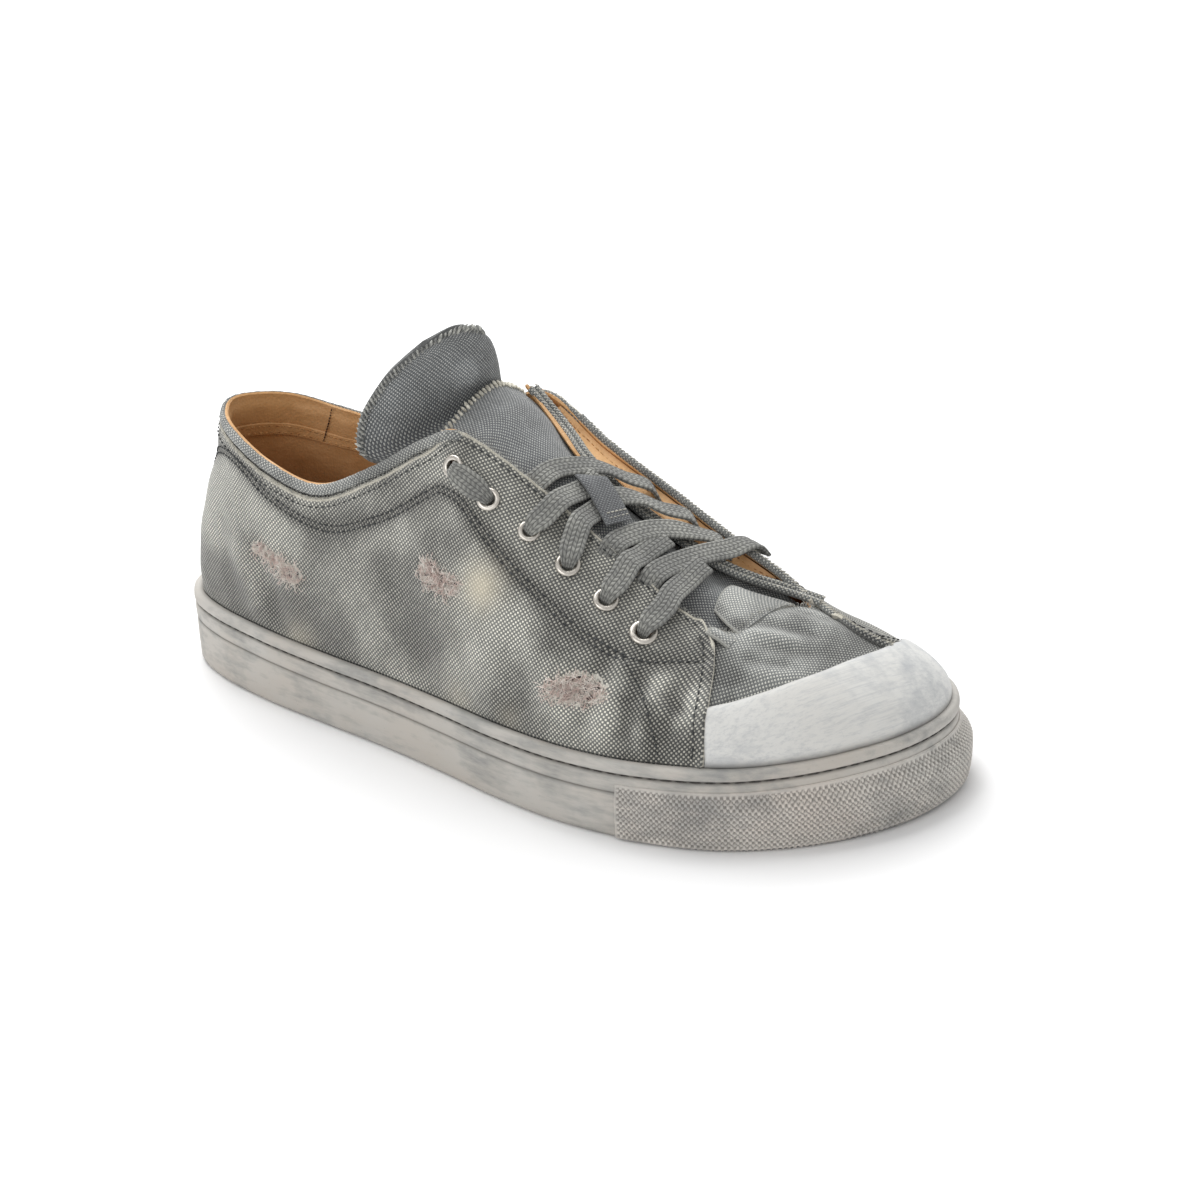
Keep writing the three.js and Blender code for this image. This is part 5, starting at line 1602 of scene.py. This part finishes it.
def throat_lining():
    """The tan lining between the facing's rolled edge and the inner throat edge, with its stitch row."""
    s = np.linspace(0.06, 1, 90)
    start = FACING[1](s, [0.5], 0.25)[:, 0]
    rim_u = np.linspace(18.9, 14.6, 200)
    rim_x = skin(rim_u, np.ones(200))[:, 0]
    u = np.interp(FACING[0](s, [1.0])[:, 0, 0] + 1.5, rim_x, rim_u)
    finish = skin_off(u, below_rim(u, 1.0), np.full(90, -WALL - 0.25))
    t = np.linspace(0, 1, 14)[None, :, None]
    grid = start[:, None] * (1 - t) + finish[:, None] * t
    grid[..., 2] -= 1.6 * np.sin(math.pi * t[..., 0]) * (1 - 0.6 * s[:, None])
    grid[..., 2] += 0.35 * np.sin(s[:, None] * 34) * np.sin(math.pi * t[..., 0])
    under = grid - (0.0, 0.0, 0.9)
    settle(sheet_piece("throat_lining", grid, under, plain_uv(90, 14), LINING)[0], "lining")
    row = grid[:, 9] * 0.65 + grid[:, 10] * 0.35
    up = unit(np.cross(np.gradient(row, axis=0), finish - start))
    up = up * np.sign(up[:, 2:3])
    rows = [sewing_row(row, up, 2.3, 0.1)]
    sew("throat_lining_stitches", "lining", rows, THREAD_TAN, Length=1.6, Width=0.4, Height=0.4)


TUCK = [[(75.5, -11.3, 60.0), (74.2, -5.0, 62.6), (74.5, 1.4, 63.4), (77.5, 7.0, 60.3), (81.5, 11.7, 56.6)],
        [(80.5, -14.5, 58.8), (79.5, -7.0, 61.6), (80.0, 0.0, 61.8), (83.0, 7.0, 59.4), (86.5, 11.0, 57.3)],
        [(88.0, -17.0, 56.0), (89.0, -9.0, 57.4), (90.0, 0.0, 57.8), (91.0, 7.0, 57.4), (92.5, 10.5, 56.8)]]
STUB = [[(80.5, -25.0, 58.4), (80.6, -22.5, 59.3), (81.2, -20.5, 58.6)],
        [(84.0, -25.0, 57.2), (84.2, -22.5, 57.9), (84.6, -20.2, 57.4)],
        [(88.0, -24.5, 54.6), (88.2, -22.0, 55.2), (88.6, -19.8, 55.6)]]


def vamp_tuck():
    """The vamp's torn edge where it is turned up and back, and the frayed stub beside it."""
    for name, rows in (("vamp_tuck", TUCK), ("vamp_stub", STUB)):
        surface = surface_through(rows)
        piece = cloth_strip(name, surface, 0.0, -0.9, 44, 34, [VAMP_CANVAS, VAMP_CANVAS])
        settle(piece, "canvas")


def inner_throat_whip():
    u = np.linspace(18.3, 14.5, 400)
    up = unit(skin_normal(u, np.ones(400)) + (0.0, 0.0, 1.2))
    line = skin_off(u, np.ones(400), np.full(400, -0.35)) + up * 1.35
    rope, rope_up = vamp_rope()
    rows = [sewing_row(line, up, 1.5), sewing_row(rope + rope_up * 1.15, rope_up, 1.5)]
    sew("throat_overlock", "canvas", rows, THREAD_PALE, seed=9, Length=2.3, Width=0.6, Height=0.5,
        Slant=0.9, Looseness=0.08)


def vamp_edge():
    """The vamp's torn rear edge: loose threads along it."""
    u = np.linspace(10.4, 14.6, 500)
    w = np.full(500, 0.985)
    rows = [on_skin_row(np.stack([u, w], 1), 0.4, -0.5)]
    fray("vamp_fray", "canvas", rows, FRAY_GREY, seed=12, Length=1.9, Width=0.16, Height=0.6,
         Slant=1.5, Looseness=1.0)


# ---- collar binding ----
def binding():
    """The rolled band round the collar, from the outer eyestay's corner by the heel to the inner one."""
    u = np.linspace(6.95, -5.55, 420)
    w = below_rim(u, 1.7)
    line = skin_off(u, w, np.full(u.shape, -0.2))
    up = skin_normal(u, w)
    ends = np.minimum(smooth(np.arange(420), 0, 26), 1 - smooth(np.arange(420), 393, 419))
    line = line - up * (1 - ends[:, None]) * 0.7
    angles = np.linspace(0, 2 * math.pi, 22, endpoint=False)
    profile = np.stack([1.9 * np.cos(angles), 1.3 * np.sin(angles)], 1)
    points, faces, uv = tube(line, up, profile)
    wave = 0.12 * np.sin(points[:, 0] * 1.3) * np.sin(points[:, 1] * 1.7)
    points[:, 2] += wave
    piece = make_object("collar_binding", points, faces, [CANVAS_FINE], uv)
    paint(piece)
    return piece


# ---- laces ----
ON_SIDE = (0.42, -0.6, 0.68)
ON_EDGE = (0.5, -0.35, 0.79)
ON_TONGUE = (0.53, -0.1, 0.84)
ON_INNER = (0.47, 0.25, 0.84)


def eyelet_end(inner, k, toward):
    """The last stops of a lace that goes down an eyelet: at its mouth and inside it."""
    at, out = next((p, n) for side, number, p, n in PLACES if side == inner and number == k)
    way = unit(np.asarray(toward, float) - at)
    return [(at - out * 3.2 - way * 0.3, unit(out * 0.15 - way)),
            (at + out * 0.6 + way * 0.2, unit(out * 0.5 - way)),
            (at + out * 2.3 + way * 2.3, unit(out - way * 0.35))]


def bar(inner):
    """The lace outside the upper between its two rearmost eyelets."""
    first = next((p, n) for side, k, p, n in PLACES if side == inner and k == 0)
    second = next((p, n) for side, k, p, n in PLACES if side == inner and k == 1)
    middle = (first[0] + second[0]) / 2
    out = unit(first[1] + second[1])
    start = eyelet_end(inner, 0, middle)
    finish = eyelet_end(inner, 1, middle)[::-1]
    return [*start, (middle + out * 2.7, out), *finish]


def crossing(inner, k, stops):
    return [*eyelet_end(inner, k, stops[0][0]), *stops]


LACES = {
    "lace_bar_outer": [bar(False)],
    "lace_bar_inner": [bar(True)],
    "lace_cross_rear": [
        [((14.5, -27, 93.5), ON_TONGUE), ((16.5, -20.5, 97.6), ON_TONGUE), ((17.2, -12, 98.6), ON_TONGUE),
         ((21, -2.5, 97.3), ON_TONGUE), ((25, 5.5, 94.6), ON_INNER), ((30.5, 11, 90.2), ON_INNER),
         ((35, 17.5, 86.0), ON_INNER), ((36.5, 20.5, 80), (0.6, 0.5, 0.6))],
        crossing(False, 2, [
            ((24.6, -30.2, 90.2), ON_SIDE), ((26.3, -23.5, 93.4), ON_EDGE), ((26.4, -14, 92.8), ON_TONGUE),
            ((27.5, -7.5, 93), ON_TONGUE), ((27, -1, 94.2), ON_TONGUE)]),
    ],
    "lace_strand_middle": [
        crossing(False, 3, [
            ((35.6, -30.6, 83), ON_SIDE), ((34.4, -24, 87.5), ON_EDGE), ((33.6, -16.5, 87.6), ON_TONGUE),
            ((34, -7.5, 88.2), ON_TONGUE), ((35, -1, 88.6), ON_TONGUE), ((39.5, 5, 86.2), ON_INNER),
            ((45.3, 9, 82.4), ON_INNER), ((50.5, 16.5, 78.2), ON_INNER),
            ((52.5, 19.5, 72), (0.6, 0.5, 0.6))]),
    ],
    "lace_cross_middle": [
        [((43.2, -24, 76.8), ON_TONGUE), ((44, -19.3, 79.9), ON_TONGUE), ((44.8, -13.5, 80.4), ON_TONGUE),
         ((48.3, -4.7, 80.3), ON_TONGUE), ((52.7, 3.8, 78.3), ON_TONGUE), ((57.9, 12, 74.6), ON_INNER),
         ((62, 17.5, 71), ON_INNER), ((63.5, 19.5, 65), (0.6, 0.5, 0.6))],
        crossing(False, 4, [
            ((51.8, -28.8, 73.4), ON_SIDE), ((51.6, -22.5, 76.4), ON_EDGE), ((51.4, -16, 75.8), ON_TONGUE),
            ((52.4, -9, 76.9), ON_TONGUE), ((53.2, -2.5, 77.6), ON_TONGUE)]),
    ],
    "lace_cross_front": [
        [((57.4, -23, 68.5), ON_TONGUE), ((58.4, -19, 71.9), ON_TONGUE), ((59.7, -10.5, 72.4), ON_TONGUE),
         ((63.5, 2.9, 71.8), ON_TONGUE), ((67.2, 13.5, 70.6), ON_TONGUE),
         ((69.4, 20.3, 70.5), (0.4, 0.35, 0.85)),
         ((70.7, 25, 68.8), (0.3, 0.7, 0.65)), ((71.3, 28.5, 64.5), (0.2, 0.85, 0.45))],
        crossing(False, 5, [
            ((66.8, -27.6, 65.6), ON_SIDE), ((66, -21, 67.6), ON_EDGE), ((65.6, -12.5, 68.2), ON_TONGUE),
            ((66, -6, 69.6), ON_TONGUE), ((66.2, -1, 70.2), ON_TONGUE)]),
    ],
}


def lace_tube(stops, mouths):
    """A flat braid through its stops. mouths tells which ends go down an eyelet and bunch up there."""
    points = np.array([p for p, _ in stops], float)
    ways = np.array([n for _, n in stops], float)
    both = evenly(through(np.concatenate([points, ways], 1), 24 * len(stops)), 0.55)
    line, up = both[:, :3], unit(both[:, 3:])
    along = unit(np.gradient(line, axis=0))
    up = unit(up - along * (up * along).sum(1, keepdims=True))
    side = np.cross(along, up)
    run = np.arange(len(line)) * 0.55
    width = np.full(len(line), LACE_WIDTH / 2)
    thick = np.full(len(line), LACE_THICK / 2)
    for end in mouths:
        far = run if end == 0 else run[::-1]
        pinch = 1 - smooth(far, 2.5, 10.5)
        width = width * (1 - 0.5 * pinch)
        thick = thick * (1 + 0.35 * pinch)
    across = np.array([1, 0.93, 0.78, 0.5, 0.17, -0.17, -0.5, -0.78, -0.93])
    height = np.array([0, 0.72, 0.98, 0.84, 0.98, 0.98, 0.84, 0.98, 0.72])
    profile_a = np.concatenate([across, -across])
    profile_b = np.concatenate([height, -height])
    cup = 0.35 * (profile_a ** 2)[None, :] * np.sin(run / 9)[:, None] * 0.4
    p = (line[:, None] + side[:, None] * (width[:, None] * profile_a[None])[..., None]
         + up[:, None] * (thick[:, None] * profile_b[None] + cup)[..., None])
    n, m = p.shape[:2]
    uv = np.stack(np.broadcast_arrays(run[:, None], profile_a[None] * LACE_WIDTH / 2), -1)
    i, j = np.arange(n - 1), np.arange(m)
    a, b = (i[:, None] * m + j).ravel(), (i[:, None] * m + (j + 1) % m).ravel()
    faces = np.stack([a, b, b + m, a + m], 1).tolist()
    faces += [list(range(m))[::-1], [(n - 1) * m + k for k in range(m)]]
    return p.reshape(-1, 3), faces, uv.reshape(-1, 2)


def laces():
    for name, runs in LACES.items():
        parts = []
        for stops in runs:
            mouths = (0, 1) if "bar" in name else ((0,) if stops[1][0][1] < -30 and len(stops) > 7 else ())
            parts.append(lace_tube(stops, mouths))
        points, faces, uv = joined(parts)
        piece = make_object(name + "_braid", points, faces, [LACE], uv, sharp=70)
        settle(piece, "lace_webbing", name)


def keeper():
    stops = [((26, -5, 95.0), ON_TONGUE), ((28.5, -6.5, 95.2), ON_TONGUE), ((33, -8.5, 92.2), ON_TONGUE),
             ((38, -11, 88), ON_TONGUE), ((41.5, -12.5, 84.4), ON_TONGUE)]
    points = np.array([p for p, _ in stops], float)
    line = evenly(through(points, 80), 0.6)
    up = np.tile(unit(np.array(ON_TONGUE)), (len(line), 1))
    across = np.linspace(1, -1, 13)
    half = 10.5 / 2
    top = np.stack([across * half, 0.65 - 0.35 * np.abs(across) ** 6], 1)
    low = np.stack([-across * half, -0.6 + 0.3 * np.abs(across) ** 6], 1)
    points, faces, uv = tube(line, up, np.concatenate([top, low]))
    piece = make_object("keeper_webbing", points, faces, [WEBBING], uv)
    paint(piece)
    settle(piece, "canvas", "lace_keeper")
    side = unit(np.cross(unit(np.gradient(line, axis=0)), up))
    rows = []
    for run in (3, 6):
        i = len(line) - 1 - run
        spots = np.arange(-4.2, 4.3, 1.7)
        rows.append((line[i] + side[i] * spots[:, None] + up[i] * 0.7, np.tile(up[i], (len(spots), 1)),
                     np.tile(side[i], (len(spots), 1))))
    sew("keeper_stitches", "canvas", rows, THREAD_PALE, Length=1.5, Width=0.4, Height=0.35)


# ---- stitches and loose threads ----
def seam_stitches():
    rows = []
    for name, (_, count) in SEAMS.items():
        line = SEAM_LINES[name]
        for side in ((-1.05, 1.05) if count == 2 else (0,)):
            run = moved(line, side) if side else line
            rows.append(on_skin_row(run, 2.5, 0.25))
    sew("seam_stitches", "canvas", rows, THREAD_DARK, Length=1.8, Width=0.68, Height=0.55)


def edge_lines():
    """The panels' frayed edges as runs of u and w: the collar edge, then the throat edge, per side."""
    outer_u = np.linspace(0, 10.25, 260)
    inner_u = np.linspace(ROWS, 14.7, 260)
    return {"outer": np.stack([outer_u, outer_top(outer_u)], 1),
            "inner": np.stack([inner_u, inner_top(inner_u)], 1)}


def outer_top(u):
    return collar_top(u, 5.9, 7.0)


def inner_top(u):
    return collar_top(-u, -20.1, -18.9)


def shifted_in(line, distance):
    """A run of u and w moved down the skin."""
    return np.stack([line[:, 0], line[:, 1] - (1 - below_rim(line[:, 0], distance))], 1)


def edge_stitches():
    rows = []
    for line in edge_lines().values():
        rows.append(on_skin_row(shifted_in(line, 3.0), 2.7, 0.45))
    w = np.linspace(0.03, 0.93, 200)
    for front, distance in ((OUTER_FRONT, -3.0), (INNER_FRONT, 3.0)):
        rows.append(on_skin_row(moved(np.stack([front_line(front)(w), w], 1), distance), 2.5, 0.5))
    sew("edge_stitches", "canvas", rows, THREAD_DARK, Length=1.75, Width=0.62, Height=0.55)
    fuzz = []
    for line in edge_lines().values():
        fuzz.append(on_skin_row(shifted_in(line, 0.25), 0.42, 0.45))
    fray("edge_fray", "canvas", fuzz, FRAY_GREY, seed=7, Length=1.3, Width=0.14, Height=0.35,
         Slant=1.5, Looseness=0.9)


def tear_fibres():
    rng = np.random.default_rng(11)
    points, ups, alongs = [], [], []
    for x, y, z, a, b in TEARS:
        count = int(9 * a * b)
        angle, far = rng.uniform(0, 2 * math.pi, count), np.sqrt(rng.uniform(0, 1.7, count))
        wanted = np.stack([x + a * far * np.cos(angle), np.full(count, float(y)),
                           z + b * far * np.sin(angle)], 1)
        u, w = locate(wanted)
        up = skin_normal(u, w)
        base = skin(u, w)
        points.append(base + up * (folds(base) - 0.35)[:, None])
        ups.append(up)
        way = rng.normal(size=(count, 3))
        alongs.append(unit(way - up * (way * up).sum(1, keepdims=True)))
    rows = [(np.concatenate(points), np.concatenate(ups), np.concatenate(alongs))]
    fray("torn_fibres", "canvas", rows, FRAY, seed=3, Length=3.4, Width=0.2, Height=1.3, Looseness=0.7)


def whip_stitches():
    """Overlocking over the raw edges of the tongue, its flap and the facing."""
    ladder = np.linspace(0, 1, 90)
    tongue_edge = np.concatenate([np.stack([ladder[::-1] * 0.24, np.full(90, 0.012)], 1),
                                  np.stack([np.full(60, 0.004), np.linspace(0.02, 0.98, 60)], 1)])
    flap_edge = np.stack([np.full(90, 0.004), np.linspace(0.0, 0.99, 90)], 1)
    rows = [edge_row(TONGUE, tongue_edge, 1.8, 0.2)]
    sew("tongue_overlock", "canvas", rows, THREAD_GREY, seed=5, Length=4.0, Width=0.95, Height=1.2,
        Slant=1.0, Looseness=0.12)
    rows = [edge_row(BED, flap_edge, 2.1, 0.2)]
    sew("flap_overlock", "canvas", rows, THREAD_CREAM, seed=6, Length=4.6, Width=1.15, Height=1.5,
        Slant=1.0, Looseness=0.15)
    line = facing_line()
    rows = []
    for side in (-ROLL_APART, ROLL_APART):
        rows.append(sewing_row(line + facing_side(line) * side, facing_up(line), 1.5, ROLL_RADIUS + 0.2))
    sew("facing_overlock", "canvas", rows, THREAD_PALE, seed=8, Length=2.1, Width=0.55, Height=0.45,
        Slant=0.9, Looseness=0.1)


def lining_stitches():
    """The collar lining's lower seam and its closing seam on the inner side."""
    rows = []
    u = np.linspace(6.0, -5.4, 300)
    w = below_rim(u[:, None], np.linspace(11.8, 16.4, 7)[None, :])
    band_u = np.broadcast_to(u[:, None], w.shape)
    near = skin_off(band_u, w, np.full(w.shape, -WALL - 1.15))
    far = skin_off(band_u, w, np.full(w.shape, -WALL - 0.3))
    settle(sheet_piece("lining_band", near, far, plain_uv(300, 7), LINING)[0], "lining")
    for depth in (12.7, 15.5):
        u = np.linspace(5.6, -5.2, 400)
        w = below_rim(u, depth)
        up = -skin_normal(u, w)
        rows.append(sewing_row(skin(u, w) + up * (WALL + 1.2), up, 2.4))
    sew("lining_stitches", "lining", rows, THREAD_TAN, Length=1.7, Width=0.45, Height=0.45)
    u = np.linspace(22.2, 22.38, 40)
    w = below_rim(u, np.linspace(0.6, 15.0, 40))
    up = -skin_normal(u, w)
    rows = [sewing_row(skin(u, w) + up * (WALL + 1.35), up, 1.15)]
    sew("lining_back_seam", "lining", rows, THREAD_BROWN, Length=1.2, Width=0.6, Height=0.4)


def sole_stitches():
    """The sidewall's stitch row, lying in its groove."""
    u = np.linspace(0, ROWS, 1600)
    point, out = sole_edge(u)
    line = point - out * 0.62
    line[:, 2] = lip_height(point[:, 0]) - 4.18
    rows = [sewing_row(line, out, 4.6)]
    sew("sidewall_stitches", "sole_rubber", rows, GROOVE_THREAD, Length=3.9, Width=0.5, Height=0.45,
        Looseness=0.03)


def eyelet_rings():
    names, rows = [], []
    for inner, k, at, out in PLACES:
        names.append("eyelet_" + ("inner_" if inner else "outer_") + str(k + 1))
        lift = folds(at[None])[0] + 0.15
        rows.append((at[None] + out * lift, out[None], unit(np.cross(out, (0, 1, 0)))[None]))
    piece = repeat("eyelet_rings", RING, rows, NICKEL)
    face_outwards(piece)
    settle(piece, "eyelet_metal", *names)


# ---- putting the shoe together ----
def ripple(points):
    x, y = points[..., 0], points[..., 1]
    return 0.25 * np.sin(x / 7 + y / 11) * np.sin(y / 6 + x / 19)


def canvas_parts():
    piece = shell()
    cut_holes(piece, (False, True))
    settle(piece, "lining", "upper")
    outer = panel("outer_quarter", 0.0, front_line(OUTER_FRONT), outer_top, 440)
    settle(cut_holes(outer, (False,)), "canvas")
    inner = panel("inner_quarter", float(ROWS), front_line(INNER_FRONT), inner_top, 380)
    settle(cut_holes(inner, (True,)), "canvas")
    settle(binding(), "canvas")
    flap = cloth_strip("flap_canvas", BED, 0.0, -FLAP_THICK, 170, 70, [TONGUE_CANVAS, TONGUE_CANVAS], ripple)
    settle(flap, "canvas", "tongue_flap")
    back = cloth_strip("tongue_canvas_layer", TONGUE, 0.0, -TONGUE_THICK, 260, 60, [TONGUE_CANVAS, LINING])
    settle(back, "canvas", "tongue")
    strip = cloth_strip("facing_leather", FACING, 0.0, -1.4, 130, 16, [LINING, LINING])
    settle(strip, "lining", "throat_facing")


def rubber_parts():
    settle(cup_sole(), "sole_rubber", "outsole")
    settle(bumper(), "sole_rubber", "toe_bumper")
    settle(toe_cap(), "cap_rubber", "toe_cap")
    settle(sock(), "lining", "insole")


rubber_parts()
canvas_parts()
laces()
keeper()
eyelet_rings()
seam_stitches()
edge_stitches()
whip_stitches()
rolled_edges()
throat_lining()
vamp_tuck()
inner_throat_whip()
vamp_edge()
lining_stitches()
sole_stitches()
tear_fibres()


# ---- floor, light and camera ----
def floor():
    made, net, body, places = new_material("paper_floor", 0.9)
    faint = net.noise(places["Object"], 6.0, 3.0)
    net.put(body.inputs["Base Color"], net.mix(faint, (0.86, 0.86, 0.865, 1), (0.88, 0.88, 0.88, 1)))
    bm = bmesh.new()
    bmesh.ops.create_grid(bm, x_segments=8, y_segments=8, size=4.0)
    mesh = bpy.data.meshes.new("floor")
    bm.to_mesh(mesh)
    bm.free()
    mesh.materials.append(made)
    add_object("floor", mesh)


def area_light(name, place, aim, size, power):
    data = bpy.data.lights.new(name, "AREA")
    data.shape = "RECTANGLE"
    data.size, data.size_y = size
    data.energy = power
    lamp = add_object(name, data)
    lamp.location = place
    lamp.rotation_euler = (Vector(aim) - Vector(place)).to_track_quat("-Z", "Y").to_euler()


CAMERA_TURN, CAMERA_HEIGHT, CAMERA_ROLL = 33.031, 23.238, -2.4496
CAMERA_AIM = (17.446, 11.343, 43.3)
CAMERA_DISTANCE = 804.156
CAMERA_LENS = 70.51


def camera():
    """Seen from the front of the outer side, above, through a long lens, rolled a little."""
    turn, height, roll = (math.radians(angle) for angle in (CAMERA_TURN, CAMERA_HEIGHT, CAMERA_ROLL))
    back = np.array([math.sin(turn) * math.cos(height), -math.cos(turn) * math.cos(height),
                     math.sin(height)])
    right = np.array([math.cos(turn), math.sin(turn), 0.0])
    up = np.cross(back, right)
    tilted = right * math.cos(roll) + up * math.sin(roll)
    upright = up * math.cos(roll) - right * math.sin(roll)
    place = placed(np.array(CAMERA_AIM) + back * CAMERA_DISTANCE)
    data = bpy.data.cameras.new("camera")
    data.lens = CAMERA_LENS
    data.sensor_width = 36.0
    data.clip_start = 0.05
    seen = add_object("camera", data)
    columns = Matrix([tilted, upright, back]).transposed().to_4x4()
    seen.matrix_world = Matrix.Translation(Vector(place)) @ columns
    bpy.context.scene.camera = seen


def light():
    world = bpy.data.worlds.new("studio")
    world.use_nodes = True
    back = world.node_tree.nodes.get("Background") or world.node_tree.nodes.new("ShaderNodeBackground")
    back.inputs["Color"].default_value = (1.0, 1.0, 1.0, 1.0)
    back.inputs["Strength"].default_value = 0.62
    bpy.context.scene.world = world
    area_light("key", (-0.55, 0.3, 1.3), (0.0, 0.0, 0.05), (1.1, 1.1), 16.5)
    area_light("fill", (0.1, -1.35, 0.75), (0.05, 0.0, 0.04), (0.9, 0.7), 4.5)
    area_light("backdrop", (-1.4, 2.4, 1.6), (-1.2, 2.2, 0.0), (3.0, 3.0), 60.0)
    bpy.context.scene.view_settings.view_transform = "Standard"


floor()
light()
camera()
